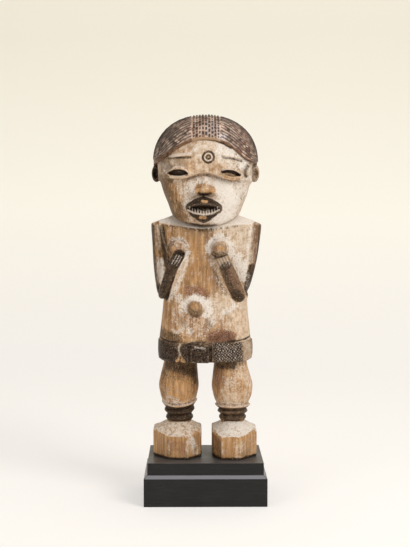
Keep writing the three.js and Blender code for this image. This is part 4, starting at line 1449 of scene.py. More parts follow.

# These five tables are strokes read in the photograph, in its pixels across and down
TRUNK_PAINT = [
    # Left upper arm: dark outer strip, grey-brown middle, darkest inner strip. The inner strip's dark is
    # painted shade in the groove beside the chest, and the outer strip's is partly painted shade where it
    # faces left
    ([(155, 226), (156.5, 250), (158.6, 268)], ("stain", 0.7, 8, 3)),
    ([(152, 226), (152.6, 250), (155, 275), (158.5, 290)], ("crust", 0.75, 1.2, 1.8)),
    ([(162, 228), (165, 250)], ("rubbed", 0.7, 2.2, 3)),
    ([(161.6, 226), (163.4, 242), (165.4, 256), (166.4, 268)], ("stain", 0.85, 2.2, 3)),
    ([(162, 228), (163.4, 242), (165.4, 256), (166, 264)], ("crust", 0.7, 1.8, 3)),
    ([(157.4, 227), (158, 248)], ("film", 0.6, 1.6, 3)),
    ([(157.8, 227), (158.2, 244)], ("clay", 0.2, 1, 2.4)),
    ([(158.8, 289), (162.4, 296)], ("crust", 0.85, 3, 2)),
    ([(160, 262), (160.6, 280)], ("rubbed", 0.6, 2, 3), ("clay", 0.8, 2, 3)),
    ([(158.6, 262), (159.8, 280)], ("film", 0.8, 3, 4)),
    ([(159.8, 224.2), (162.8, 237), (166.6, 252)], ("film", 0.85, 0.5, 0.9)),
    # Chest
    ([(176, 236), (182, 262)], ("film", 0.2, 8, 10)),
    ([(176, 234), (186, 262)], ("glow", 0.5, 9, 8)),
    ([(170, 234), (178, 262)], ("stain", 0.3, 3, 5)),
    ([(236, 234), (240, 262)], ("clay", 0.2, 10, 12)),
    ([(230, 236), (236, 262)], ("film", 0.7, 14, 10)),
    (
        [
            (166, 225.4), (179.4, 226.8), (187.8, 228), (201.6, 229.8), (208.5, 229),
            (221.5, 227.2), (236, 226),
        ],
        ("rubbed", 0.5, 1, 1.4), ("stain", 0.92, 0.9, 1.4),
    ),
    (
        [
            (168, 222.8), (179.4, 224.2), (187.8, 225.4), (201.6, 227), (208.5, 226.2),
            (221.5, 224.6), (236.8, 223.4), (250, 223),
        ],
        ("clay", 0.95, 1.1, 1.2),
    ),
    ([(165, 228), (172, 236)], ("stain", 0.25, 4, 6)),
    ([(194, 238), (203, 262), (202, 288)], ("stain", 0.3, 5, 8)),
    ([(198, 240), (199, 262), (197, 284)], ("stain", 0.35, 0.8, 1.8)),
    ([(206, 236), (205, 262), (208, 286)], ("stain", 0.35, 0.8, 1.8)),
    ([(190, 238), (193, 262), (192, 280)], ("stain", 0.3, 0.8, 1.8)),
    ([(210, 240), (208, 258), (212, 284)], ("rust", 0.3, 1.4, 3)),
    ([(200, 246), (201, 284)], ("glow", 0.4, 7, 9)),
    ([(190, 236), (192, 262)], ("glow", 0.3, 4, 5)),
    (
        [(171, 243), (176, 239.4), (181, 239.6), (185.4, 244), (186.4, 252), (184.4, 258)],
        ("clay", 0.55, 2, 3),
    ),
    (
        [
            (208.6, 250), (210.2, 242), (215.6, 237.4), (221.6, 236.6), (227.4, 239.6),
            (230.6, 246), (231, 254),
        ],
        ("clay", 0.7, 2, 3),
    ),
    ([(207, 246), (208, 254), (212, 262)], ("clay", 0.3, 2.4, 4)),
    ([(184.4, 259), (182, 268), (178.4, 280), (173, 291), (168.5, 297)], ("clay", 0.5, 2, 2.6)),
    ([(184, 259), (181.4, 268), (177.8, 280), (172.4, 291), (168, 297)], ("film", 0.8, 3, 3)),
    ([(238, 258), (242, 268), (245, 278)], ("clay", 0.62, 3.4, 4)),
    ([(240, 248), (244, 262)], ("film", 0.7, 6, 6)),
    ([(251.4, 226), (249.4, 240), (247.4, 256), (245.4, 270)], ("clay", 0.55, 1.2, 2)),
    ([(213.5, 264), (217.5, 277), (223, 290)], ("clay", 0.3, 1.6, 3)),
    ([(211.4, 262), (216.4, 278), (224, 294), (232, 302)], ("stain", 0.6, 1, 1.6)),
    # Breasts
    ([(174.6, 247.2), (177.8, 248.8)], ("rubbed", 0.7, 4.4, 4)),
    ([(174.6, 247.6), (177.8, 249)], ("stain", 0.45, 4, 4)),
    ([(175, 246), (178.6, 249)], ("rust", 0.5, 4, 3)),
    ([(179, 243), (181.6, 247)], ("film", 0.4, 3, 3)),
    ([(218.6, 248.6), (220.4, 248.8)], ("rubbed", 0.7, 5.4, 4)),
    ([(218.6, 249), (220.4, 249.2)], ("stain", 0.42, 5, 4)),
    ([(216, 247), (222, 250)], ("rust", 0.3, 4, 4)),
    # Painted shade at the lower left of the right breast
    ([(213, 252.8), (217, 255.4)], ("crust", 0.5, 1.6, 2)),
    ([(218.8, 247.4), (221, 248.8)], ("rubbed", 0.9, 1.8, 1.2)),
    ([(173, 247), (173.6, 248.4)], ("rubbed", 0.9, 1.2, 1), ("glow", 0.85, 1.4, 1.4)),
    ([(218.6, 247), (221.2, 249)], ("glow", 0.9, 1.8, 1.6)),
    # Right upper arm
    ([(256.6, 226), (254.8, 245), (252.4, 262)], ("rubbed", 0.6, 3.6, 1.8)),
    ([(256.4, 226), (254.6, 245), (252, 262)], ("rust", 0.55, 3.4, 2.6)),
    ([(257, 226), (255.2, 245), (252.6, 262)], ("stain", 0.85, 3.4, 2.6)),
    ([(257, 228), (255.2, 245), (252.6, 262)], ("crust", 0.28, 3, 2.6)),
    ([(253.4, 226), (252, 245), (250, 262)], ("film", 0.4, 1.4, 2.4)),
    ([(260.4, 226), (259.4, 245), (256.8, 262)], ("crust", 0.62, 1.1, 1.4)),
    ([(251.8, 268), (249.4, 282), (246.8, 292)], ("rubbed", 0.8, 3, 2.4), ("crust", 0.75, 3, 2.6)),
    ([(251.8, 266), (249.4, 282), (246.8, 292)], ("stain", 0.8, 3, 2.6)),
    ([(248, 274), (246.8, 286)], ("dust", 0.3, 1.2, 2)),
    # Belly
    ([(178, 297), (181, 303), (184.6, 309)], ("clay", 0.6, 2, 3)),
    ([(186.4, 301), (190, 298.4), (194, 297.4)], ("clay", 0.6, 2.2, 3)),
    ([(196, 297.6), (202, 299.8), (206.5, 303.4), (208.4, 308.6), (206, 313)], ("clay", 0.75, 2.6, 3)),
    ([(182, 314), (190, 328), (206, 324)], ("film", 0.35, 8, 10)),
    ([(182, 316), (192, 330), (206, 322)], ("glow", 0.4, 8, 8)),
    ([(183, 316), (190, 330), (204, 326)], ("clay", 0.16, 8, 8)),
    ([(214, 302), (218, 310), (228, 304)], ("film", 0.7, 6, 6)),
    ([(213, 306), (218, 312)], ("clay", 0.25, 4, 5)),
    ([(224, 311), (229, 309.6), (233, 306)], ("clay", 0.55, 1.6, 3)),
    ([(236, 302), (238, 306)], ("clay", 0.3, 3, 4)),
    ([(241, 300), (246, 316), (248, 332)], ("film", 0.6, 6, 8)),
    ([(172, 331), (176, 335), (180, 332)], ("clay", 0.4, 2, 3)),
    ([(184, 327), (190, 332)], ("clay", 0.35, 2, 3)),
    ([(210, 314), (212, 322)], ("clay", 0.35, 1.6, 3)),
    ([(190, 290.6), (198, 292), (204, 296)], ("rust", 0.62, 3.6, 5)),
    ([(212, 338), (221, 335), (230, 337)], ("rubbed", 0.7, 4, 4), ("rust", 0.85, 4.4, 4)),
    ([(212, 339), (221, 336), (230, 338)], ("stain", 0.7, 3.4, 4)),
    ([(212, 340), (221, 337), (230, 339)], ("crust", 0.35, 3.4, 4)),
    ([(226, 314), (221, 328), (216, 334)], ("rust", 0.5, 2.6, 4)),
    ([(176, 312), (173, 324)], ("rust", 0.4, 2, 4)),
    ([(192, 333), (203, 331), (209, 323), (216, 318)], ("rust", 0.4, 2.4, 4)),
    ([(216, 262), (220, 275), (226, 289)], ("rust", 0.35, 2, 3)),
    ([(184, 320), (196, 322)], ("rust", 0.3, 3, 4)),
    ([(162, 300), (161.4, 334)], ("stain", 0.45, 3, 6)),
    ([(166, 302), (166, 332)], ("glow", 0.35, 3, 4)),
    ([(168, 300), (167, 334)], ("stain", 0.3, 3, 5)),
    ([(162, 333), (170, 337), (180, 338)], ("rubbed", 0.5, 3, 4), ("stain", 0.9, 3, 4)),
    ([(162, 334), (172, 338)], ("crust", 0.3, 2.4, 4)),
    ([(187, 311), (184, 318), (190, 325)], ("stain", 0.5, 2, 3)),
    ([(218, 321), (224, 331)], ("stain", 0.5, 1.6, 3)),
    ([(199, 322), (203, 334)], ("stain", 0.35, 1.6, 3)),
    ([(194, 326), (206, 330)], ("stain", 0.42, 4, 5)),
    ([(240, 312), (243, 326)], ("stain", 0.35, 1.4, 3)),
    (
        [(162, 339), (176, 342), (190, 343), (206, 343), (222, 343), (240, 340), (250, 338)],
        ("stain", 0.6, 1, 1.6),
    ),
    ([(158, 338), (163, 340.4), (168, 341.6), (178, 342.6)], ("crust", 0.85, 0.6, 0.9)),
    ([(222, 342.6), (238, 341), (246, 339.4), (251.6, 337.4)], ("crust", 0.8, 0.6, 0.9)),
    ([(180, 318), (184, 326)], ("crust", 0.3, 1.2, 2)),
    ([(206, 320), (211, 327)], ("crust", 0.3, 1, 2)),
    ([(226, 312), (230, 320)], ("crust", 0.25, 1, 2)),
    ([(228, 323), (237, 321), (241, 327)], ("glow", 0.6, 4, 6)),
    ([(225, 278), (231, 292), (236, 300)], ("glow", 0.4, 3.6, 6)),
    ([(204, 330), (214, 325), (218, 332)], ("glow", 0.6, 3.4, 4)),
    ([(200, 314), (210, 318), (206, 330)], ("rust", 0.4, 3, 4)),
    ([(182, 336), (188, 338)], ("glow", 0.4, 2, 4)),
    # Navel
    ([(194.4, 307.4), (195.2, 309.2)], ("rubbed", 0.85, 6.2, 2.4)),
    ([(194.2, 308), (195, 309.6)], ("stain", 0.55, 5.8, 2.4)),
    ([(198, 303), (201, 307)], ("film", 0.4, 1.6, 2)),
    ([(193.6, 304.6), (195, 306)], ("rubbed", 0.7, 2.4, 2), ("glow", 0.75, 2, 2.2)),
    # Painted shadow along the navel's lower left
    ([(189.2, 312), (192.6, 315.4), (197, 315.6)], ("crust", 0.4, 0.9, 1.8)),
    ([(192.6, 309.6), (193.2, 310.2)], ("crust", 0.6, 0.4, 0.8)),
    ([(196.4, 311), (197, 311.2)], ("crust", 0.5, 0.4, 0.8)),
]
FOREARM_PAINT = [
    # Left forearm and hand
    ([(163, 296.5), (166.3, 284), (170.5, 271), (174, 263), (178.5, 254.4)], ("rubbed", 0.9, 4.4, 1.6)),
    (
        [(163, 296.5), (166.3, 284), (170.5, 271), (173, 264)],
        ("stain", 0.85, 4.8, 1.4), ("crust", 0.86, 4.8, 1.6),
    ),
    ([(161.6, 292), (165, 280), (168.6, 270)], ("crust", 0.5, 1.4, 2)),
    ([(166, 292), (170, 281), (173, 272)], ("glow", 0.25, 1.4, 2)),
    ([(174.6, 262), (177.4, 256.6), (178.8, 254.4)], ("crust", 0.9, 5, 1.6)),
    ([(170.4, 267.4), (176, 269.6)], ("rust", 0.75, 2.6, 2)),
    ([(164.6, 292), (169, 279), (172.4, 270)], ("glow", 0.35, 1, 2)),
    # Right forearm and hand
    ([(238, 295), (233, 284), (229, 275), (226, 268), (222, 259)], ("rubbed", 0.9, 6.6, 1.4)),
    ([(238, 295), (233, 284), (229, 275), (226, 268)], ("stain", 0.85, 6.2, 1.6)),
    ([(237, 291), (231, 279), (227, 269)], ("rust", 0.72, 6, 1.8)),
    ([(238, 295), (233, 284), (229, 275), (226, 268)], ("crust", 0.5, 6.2, 1.6)),
    ([(221.6, 266), (227, 279), (233, 292)], ("crust", 0.45, 1.2, 1.6)),
    ([(223, 261), (221, 257.6)], ("film", 0.5, 6, 2.4)),
    ([(223.4, 262), (221, 258)], ("crust", 0.5, 6.4, 2)),
    ([(231.4, 268), (236, 279), (241, 289)], ("glow", 0.45, 1.2, 1.8)),
    ([(235.4, 293), (239.6, 297.4)], ("crust", 0.75, 2.6, 3)),
    ([(240.8, 289), (243.6, 293)], ("glow", 0.55, 1.8, 2.6)),
]
HEAD_PAINT = [
    # Forehead: pinkish tan
    ([(205, 147), (220, 150)], ("clay", 0.3, 9, 8)),
    ([(206, 150), (222, 152)], ("film", 0.6, 8, 8)),
    ([(226, 152), (238, 161)], ("clay", 0.5, 6, 8)),
    ([(197, 148), (214, 145), (222, 150)], ("rust", 0.2, 3, 6)),
    ([(186, 152), (194, 146)], ("rust", 0.3, 4, 6)),
    ([(210, 163), (200, 164)], ("rust", 0.3, 4, 6)),
    ([(194, 165), (204, 169), (218, 166)], ("glow", 0.4, 6, 8)),
    ([(186, 163), (190, 171)], ("glow", 0.4, 4, 6)),
    ([(184, 150), (190, 146)], ("glow", 0.35, 4, 5)),
    ([(186, 161), (179, 163.6), (170, 162)], ("stain", 0.42, 3, 5)),
    ([(231, 151.5), (238, 158.5)], ("stain", 0.5, 2.4, 4)),
    ([(162, 160), (166, 169)], ("stain", 0.6, 4, 5)),
    # Painted shadow beside the left ear
    ([(161.6, 168), (163, 176)], ("stain", 0.7, 3.4, 4)),
    ([(164, 164), (168, 168)], ("crust", 0.36, 3, 4)),
    ([(166, 163), (172, 168)], ("stain", 0.4, 3, 4)),
    ([(176, 162), (184, 164)], ("crust", 0.3, 2, 3)),
    ([(162, 164), (166, 168), (165, 173)], ("clay", 0.45, 0.8, 2)),
    ([(240, 162), (246, 166)], ("clay", 0.4, 3, 5)),
    ([(247, 170), (250, 178)], ("clay", 0.4, 2.4, 3)),
    ([(245, 162.6), (243.4, 166), (244.4, 171)], ("stain", 0.8, 2.6, 3)),
    ([(247, 165), (244.4, 171), (245.6, 177)], ("stain", 0.75, 1.4, 3)),
    ([(247, 166), (244.4, 171), (245.2, 176)], ("crust", 0.5, 1, 2.4)),
    # Under the visor
    ([(194, 186), (204, 181), (214, 184)], ("clay", 0.5, 4, 6)),
    ([(184, 188), (190, 196)], ("clay", 0.36, 5, 6)),
    ([(184, 186), (191, 190)], ("stain", 0.3, 3, 5)),
    ([(226, 188), (236, 190)], ("clay", 0.62, 7, 8)),
    ([(229, 196), (226, 208), (221, 217)], ("clay", 0.62, 7, 9)),
    ([(182, 208), (185, 214)], ("clay", 0.4, 3, 5)),
    ([(188, 202), (185, 208)], ("clay", 0.4, 2.4, 4)),
    ([(163, 182), (169, 198), (177, 215)], ("rubbed", 0.85, 6, 6), ("stain", 0.7, 5, 5)),
    ([(177, 190), (182, 204)], ("stain", 0.3, 3, 5)),
    ([(171, 188), (175.4, 203), (182, 216)], ("glow", 0.4, 3, 5)),
    ([(173, 198), (179, 210), (184, 218)], ("stain", 0.5, 3, 4)),
    ([(170, 188), (175, 200)], ("stain", 0.4, 4, 6)),
    ([(166, 188), (172, 202), (178, 214)], ("crust", 0.22, 3, 4)),
    ([(186, 182), (178, 186), (180, 196)], ("glow", 0.5, 3, 5)),
    ([(224, 203), (229, 212)], ("rust", 0.3, 2.4, 5)),
    ([(225, 206), (229, 213)], ("stain", 0.24, 3, 5)),
    ([(246, 185), (243, 196), (240, 208)], ("stain", 0.4, 2, 5)),
    ([(236, 184), (240, 192), (238, 200)], ("stain", 0.3, 3, 5)),
    ([(238, 186), (240, 194)], ("rubbed", 0.3, 3, 5)),
    ([(214, 196), (221, 203)], ("stain", 0.35, 1.4, 4)),
    # Painted shadow under the visor's edge
    ([(171, 180.4), (188, 180), (198, 177)], ("stain", 0.4, 1.4, 3)),
    ([(197, 178), (208, 177.4)], ("stain", 0.5, 1.6, 3)),
    ([(213, 178.4), (222, 181), (234, 183)], ("stain", 0.4, 1.4, 3)),
    ([(187.6, 179), (198.4, 175.8), (206.2, 175), (215.2, 177.4), (227, 181.4)], ("crust", 0.42, 0.8, 1.6)),
    # A painted highlight along the visor's lower edge
    (
        [(169.9, 177.2), (187.8, 177.2), (198.6, 173.8), (206.2, 173), (215.4, 175.3), (229.2, 179.9)],
        ("film", 0.9, 0.6, 0.9),
    ),
    # Nose: a worn tan top with a painted highlight on it, and painted shade under it and in the nostrils
    ([(198.6, 189.8), (204, 188.8), (209.6, 189.8)], ("rubbed", 0.85, 3.8, 2.4)),
    ([(198.6, 189.6), (204, 188.6), (209.6, 189.6)], ("glow", 0.85, 3.4, 2.6)),
    ([(202, 186.6), (206, 186.4)], ("film", 0.4, 2, 3)),
    ([(196.6, 191.6), (203, 193), (211.4, 191.6)], ("stain", 0.55, 2, 3)),
    ([(198, 193.6), (203, 194.6), (210, 193.4)], ("crust", 0.7, 0.7, 1.4)),
    # Eyes
    ([(225.6, 177.6), (231, 179), (236, 178.4)], ("rubbed", 0.6, 2, 1.8), ("glow", 0.95, 2, 1.8)),
    (
        [(170.8, 173.8), (174, 172.4), (178.6, 171.8), (183, 172.6), (185.6, 174.2)],
        ("crust", 0.97, 1.6, 0.9),
    ),
    ([(222, 171.8), (227, 171.6), (233, 172.8), (238.6, 175)], ("crust", 0.97, 1.3, 0.9)),
    ([(173.4, 174.8), (179, 175.2), (184, 174.6)], ("crust", 0.92, 0.8, 0.9)),
    ([(169.6, 170.8), (173.6, 168), (179, 167.2), (184.6, 169.4), (188, 173.4)], ("dust", 0.6, 0.3, 0.8)),
    ([(171, 176.4), (178, 176.9), (185, 175.6)], ("dust", 0.3, 0.3, 0.8)),
    ([(221, 171), (226, 169.8), (232, 170), (238, 172.6), (242, 176.6)], ("dust", 0.5, 0.3, 0.7)),
    ([(172, 180), (180, 180.4), (186, 179.6)], ("stain", 0.4, 0.8, 1.4)),
    # Brows: the left brow's pale top is partly a painted highlight, and the dark line under it is painted
    # shadow
    ([(172, 156.6), (180, 155), (190, 154.2)], ("dust", 0.62, 1.1, 0.9)),
    ([(170, 156.8), (180, 155.6), (190.4, 155)], ("film", 0.7, 1.2, 0.8)),
    ([(168, 158.4), (178, 158), (190, 157.4)], ("crust", 0.62, 0.3, 0.8)),
    ([(221.6, 157.2), (224, 158.8), (230, 159), (235, 160.2), (240.8, 161.4)], ("crust", 0.55, 0.5, 1)),
    ([(221.6, 156.4), (226, 157.6), (236, 159.4)], ("rust", 0.5, 0.6, 1.6)),
    # Shadow of the hair
    (
        [
            (166.6, 159.6), (174, 151.6), (183, 144.8), (193, 141), (205.7, 139.8), (218.6, 143),
            (230.7, 149.6), (241, 158.4),
        ],
        ("stain", 0.6, 0.4, 1.6),
    ),
    (
        [
            (183, 145.2), (190, 141.8), (197, 140.6), (205, 140.3), (214, 141.3), (222, 144.2),
            (230, 148.8),
        ],
        ("crust", 0.85, 0.4, 0.8),
    ),
    # Mouth
    ([(191, 209), (203, 204.6), (216, 209)], ("rubbed", 0.95, 4.6, 1.6)),
    (
        [(190.4, 207.4), (196.6, 203.4), (203, 201.4), (209.6, 203.8), (216.4, 208)],
        ("crust", 0.97, 4.4, 1.4),
    ),
    ([(192, 208), (203, 206), (214, 208)], ("crust", 0.95, 3, 1.4)),
    ([(196, 205), (203, 203.4), (209.6, 205)], ("crust", 0.9, 2, 1.4)),
    ([(192, 213), (198, 216.4), (203, 217.6), (208, 216.4), (213.6, 213)], ("crust", 0.96, 2.6, 1.4)),
    ([(193, 214), (199, 217), (203, 218), (207, 217), (212, 214)], ("crust", 0.9, 2.2, 1.4)),
    # Painted shade on the chin's underside, below the lower lip
    ([(194, 225), (202, 226.4), (208, 225.4)], ("crust", 0.4, 0.6, 2)),
    ([(186, 219), (193, 223.4), (208, 224)], ("stain", 0.4, 1.6, 4)),
    # Painted highlights on the upper and the lower lip
    ([(201.6, 201.2), (206, 201.8)], ("rubbed", 0.85, 0.7, 1.4), ("glow", 0.8, 0.7, 1.8)),
    ([(199.8, 217.4), (204.4, 217.6)], ("rubbed", 0.9, 0.8, 1.4), ("glow", 0.8, 0.8, 1.6)),
    # Ears: the dark line between the right ear and the face is painted shade in the crevice
    ([(254.6, 166.4), (256.8, 173), (254.6, 180)], ("crust", 0.6, 1.2, 1.4)),
    ([(253.2, 166), (253.8, 172), (253, 180)], ("stain", 0.85, 0.9, 1.4)),
    ([(253.4, 166), (254, 172), (253.2, 179)], ("crust", 0.5, 0.6, 1.2)),
]
BAND_PAINT = [
    ([(190, 354), (202, 356)], ("crust", 0.7, 8, 6)),
    ([(164, 346), (170, 358)], ("crust", 0.6, 7, 5)),
    ([(164, 345), (170, 343.6)], ("film", 0.25, 1.4, 3)),
    ([(165, 354), (172, 358)], ("rust", 0.4, 3, 4)),
    ([(167, 344), (169, 352)], ("glow", 0.3, 1.2, 2)),
    ([(180, 343), (178.6, 349), (180, 357)], ("rubbed", 0.6, 0.5, 0.9)),
    ([(180.4, 342), (178.6, 347), (178.6, 350), (180, 355)], ("dust", 0.6, 0.4, 0.8)),
    ([(177.6, 361), (180, 358.6), (182, 361.4)], ("rubbed", 0.8, 1.8, 1.8)),
    ([(177.4, 361.4), (179.8, 358.6), (181.4, 361.6)], ("glow", 0.85, 1.4, 1.8)),
    ([(192.6, 345), (197, 344), (206, 346.4)], ("film", 0.6, 1.6, 2.4)),
    ([(194.6, 346.6), (204, 347.4)], ("dust", 0.5, 0.6, 1.2)),
    ([(217, 356), (220, 361)], ("glow", 0.4, 2.2, 3)),
    ([(226, 358), (232, 360)], ("glow", 0.35, 2, 3)),
    ([(226, 346), (234, 350)], ("film", 0.35, 3, 3)),
    ([(247, 345), (248, 360)], ("rubbed", 0.6, 3, 5)),
    ([(246.6, 345), (248, 360)], ("film", 0.6, 3, 5), ("stain", 0.5, 3, 5)),
]
LEG_PAINT = [
    ([(168, 366), (178, 368), (190, 371)], ("stain", 0.85, 4.6, 7)),
    ([(170, 364), (180, 366), (192, 369)], ("crust", 0.7, 3.6, 6)),
    ([(196, 366), (197, 380), (195, 392)], ("stain", 0.55, 2, 5)),
    ([(216, 367), (228, 365)], ("stain", 0.8, 4, 6)),
    ([(218, 364), (232, 365)], ("crust", 0.6, 2.6, 5)),
    ([(214, 372), (213.6, 388)], ("stain", 0.5, 2, 5)),
    ([(232, 364), (244, 361.6)], ("stain", 0.6, 2, 4)),
    ([(162, 380), (161, 392)], ("stain", 0.35, 2, 5)),
    ([(165, 370), (168, 378)], ("clay", 0.4, 1, 4)),
    ([(163, 388), (167, 395), (176, 401)], ("clay", 0.28, 1.4, 4)),
    ([(170, 374), (182, 376), (193, 378)], ("rubbed", 0.4, 8, 8)),
    ([(168, 373), (182, 376), (194, 379)], ("stain", 0.8, 6, 9)),
    ([(170, 371), (182, 373), (193, 376)], ("crust", 0.34, 5, 9)),
    ([(193.6, 378), (195, 396)], ("stain", 0.8, 2.4, 4)),
    ([(195, 376), (196, 396)], ("crust", 0.36, 1.6, 4)),
    ([(164, 378), (166, 396)], ("stain", 0.7, 3, 4)),
    ([(240, 368), (235, 376), (229, 382)], ("clay", 0.22, 2, 5)),
    ([(240, 368), (234, 380), (228, 392)], ("film", 0.42, 5, 8)),
    ([(215, 374), (216, 396)], ("stain", 0.4, 3, 5)),
    ([(228, 378), (236, 392)], ("glow", 0.5, 6, 8)),
    ([(247, 376), (250, 388)], ("film", 0.5, 2, 5)),
    ([(243, 400), (224, 402)], ("film", 0.4, 6, 6)),
    ([(172, 384), (184, 390), (182, 396)], ("glow", 0.8, 9, 9)),
    ([(163, 376), (162, 392)], ("stain", 0.9, 5, 5)),
    ([(161.6, 376), (161.6, 392)], ("crust", 0.34, 3, 4)),
    ([(242, 378), (244, 392), (232, 398)], ("glow", 0.62, 9, 10)),
    ([(218, 372), (221, 382)], ("rust", 0.4, 3, 6)),
    # Feet
    ([(174, 444), (182, 446)], ("rust", 0.35, 4, 4)),
    ([(168.3, 438), (168.4, 453)], ("rubbed", 0.6, 0.6, 1.2), ("film", 0.55, 0.5, 1.2)),
    ([(187, 437), (187, 452)], ("rubbed", 0.6, 0.6, 1.2), ("film", 0.7, 0.5, 1.2)),
    ([(221.5, 439), (221.5, 453)], ("film", 0.6, 0.5, 1.2)),
    ([(240.8, 437), (240.8, 452)], ("rubbed", 0.6, 0.6, 1.2), ("film", 0.7, 0.5, 1.2)),
    (
        [(156, 433), (168.4, 438), (187, 437.4), (199, 432)],
        ("rubbed", 0.7, 0.6, 1.4), ("glow", 0.9, 0.6, 1.4),
    ),
    (
        [(214, 433), (221.6, 438), (240.8, 437.4), (255, 432)],
        ("rubbed", 0.7, 0.6, 1.4), ("glow", 0.9, 0.6, 1.4),
    ),
    ([(190, 425), (198, 430)], ("stain", 0.5, 1.4, 3)),
    ([(172, 430), (184, 433)], ("stain", 0.45, 1.4, 3)),
    ([(163, 425), (170, 432)], ("stain", 0.4, 1, 3)),
    ([(232, 431), (246, 430)], ("stain", 0.35, 1, 3)),
    ([(173, 440), (173, 458)], ("stain", 0.35, 0.8, 2)),
    ([(180, 442), (180, 458)], ("stain", 0.35, 0.8, 2)),
    ([(190, 436), (194, 446)], ("clay", 0.5, 1.6, 2.4)),
    ([(190, 440), (196, 452)], ("film", 0.5, 3, 3)),
    ([(201.6, 430), (202, 440)], ("clay", 0.4, 1, 2)),
    ([(228, 442), (228, 460)], ("stain", 0.3, 0.8, 2)),
    ([(232, 442), (234, 456)], ("glow", 0.6, 3, 4)),
    ([(247, 440), (249, 452)], ("glow", 0.7, 4, 5)),
    ([(237, 440), (237.6, 456)], ("film", 0.3, 1.6, 3)),
    ([(243, 452), (249, 451)], ("rubbed", 0.5, 1.6, 3), ("stain", 0.3, 1.2, 3)),
    ([(244, 440), (244, 448)], ("stain", 0.3, 0.8, 2)),
]


def from_photo(rows, front):
    """Strokes read in the photograph, in millimetres on a front that far forward."""
    size = (PHOTO["away"] + front) / PHOTO["focal"]

    def point(column, row):
        return (column - PHOTO["column"]) * size, PHOTO["row_level"] - (row - PHOTO["row"]) * size

    made = []
    for way, *coats in rows:
        coats = [(pigment, amount, half * size, blur * size) for pigment, amount, half, blur in coats]
        made.append(([point(*place) for place in way], *coats))
    return made


def circle(radius):
    """Points round the middle of the forehead mark."""
    angles = [i / 12 * 2 * math.pi for i in range(13)]
    return [(RING[0] + radius * math.cos(a), RING[1] + radius * math.sin(a)) for a in angles]


def tooth_line(i):
    x, _, z = tooth_root(i)
    return [(x, z - 0.6), (x, z + 2.8)]


RING_PAINT = [
    ([RING, RING], ("rubbed", 0.8, 6, 1.5), ("film", 0.6, 7.6, 0.6)),
    (circle(6.3), ("crust", 0.7, 0.8, 1.2)),
    (circle(4.1), ("dust", 0.8, 0.2, 0.8)),
    (circle(1.8), ("crust", 0.72, 0.9, 1.1)),
    ([RING, RING], ("dust", 0.4, 0.1, 0.7)),
]
TOOTH_PAINT = [
    (tooth_line(i), ("rubbed", 0.9, 0.4, 0.6), ("dust", 0.95, 0.4, 0.7)) for i in range(-5, 6)
]
GUMS = [(-20, 337.4), (-13, 334.4), (MOUTH, 332.4), (7, 333.8), (15, 337.6)]
GUM_PAINT = [(GUMS, ("rubbed", 0.4, 0.6, 1.2), ("dust", 0.58, 0.6, 1.2))]
FINGER_PAINT = [(cut, ("dust", 0.5, 0.2, 0.9)) for cut in LEFT_FINGERS + RIGHT_FINGERS]


def wander(x, z):
    """An uneven value, about -1 to 1, that makes the edge of a stroke ragged."""
    wave = np.sin(0.9 * x + 1.6 * np.sin(0.7 * z)) + np.sin(1.1 * z + 1.9 * np.sin(0.8 * x + 2))
    return (wave + 0.7 * np.sin(2.7 * x + 1.3 * z) * np.sin(2.3 * z - 1.1 * x)) / 2


def paint(piece, strokes, base, layers=(), raised=()):
    """Stores how much of each pigment lies on every point.

    base holds each pigment's share everywhere. layers are a pigment, an amount and a function of
    the points and normals that says where it lies. strokes lie on the front, each over the ones
    before it, and a rubbed stroke takes away what lies there. raised are strokes that touch only
    what stands well forward.
    """
    points, normals = read(piece.data.vertices, "co") / MM, read(piece.data.vertex_normals, "vector")
    x, y, z = points.T
    share = {pigment: np.full(len(x), base.get(pigment, 0), np.float32) for pigment in PIGMENTS}

    def lay(pigment, at, cover):
        if pigment == "rubbed":
            for held in share.values():
                held[at] *= 1 - cover
        else:
            share[pigment][at] += (1 - share[pigment][at]) * cover

    def brush(way, front, pigment, amount, half, blur):
        low, high = np.min(way, 0) - half - blur, np.max(way, 0) + half + blur
        near = np.flatnonzero((x > low[0]) & (x < high[0]) & (z > low[1]) & (z < high[1]))
        # The softer an edge is, the more it wanders, up to a limit
        ragged = 0.4 * min(max(blur - 1.2, 0), 2.4) * wander(x[near], z[near])
        cover = 1 - ease(gap_to(x[near], z[near], way) + ragged, half, half + blur)
        lay(pigment, near, amount * front[near] * cover)

    for pigment, amount, where in layers:
        lay(pigment, slice(None), amount * where(points.T, normals.T))
    for rows, front in ((strokes, ease(y, 0, -10)), (raised, ease(y, -17, -23))):
        for way, *coats in rows:
            for coat in coats:
                brush(way, front, *coat)
    for pigment, held in share.items():
        store(piece, pigment, held)


# Where a layer of paint lies. Each gives a function of the points and the normals.


def between(low, high, soft):
    """Where the height lies between two levels."""
    return lambda p, n: ease(p[2], low - soft, low) * (1 - ease(p[2], high, high + soft))


def upward(low, high):
    """Where the wood faces up, between two levels."""
    return both(lambda p, n: ease(n[2], 0.3, 0.65), between(low, high, 2))


def facing(way, low, high):
    """Where the wood faces a way, more than low and fully at high."""
    way = np.array(way, float) / np.linalg.norm(way)
    return lambda p, n: ease(way @ n, low, high)


def both(first, second):
    """Where two layers share a place."""
    return lambda p, n: first(p, n) * second(p, n)


def right_of(start, end):
    """Rises from start to end across the front view. start may be above end."""
    return lambda p, n: ease(p[0], start, end)


def behind(start, end):
    """Rises from start to end towards the back. start may be behind end."""
    return lambda p, n: ease(p[1], start, end)


def on_collar(leg, where):
    """Heights told from the collar's own rim, which dips at the front."""
    return lambda p, n: where((p[0], p[1], p[2] + collar_dip(leg, *p)), n)


# The pieces


def carve(name, make_block, strokes, base, layers, raised=()):
    """Carves a piece out of its block and paints it."""
    step, most = FINENESS[name]
    block = make_block(step)
    piece = carved(name, block, most)
    mark_relief(piece, block)
    paint(piece, strokes, base, layers, raised)
    piece.data.materials.clear()
    piece.data.materials.append(wood)
    return piece


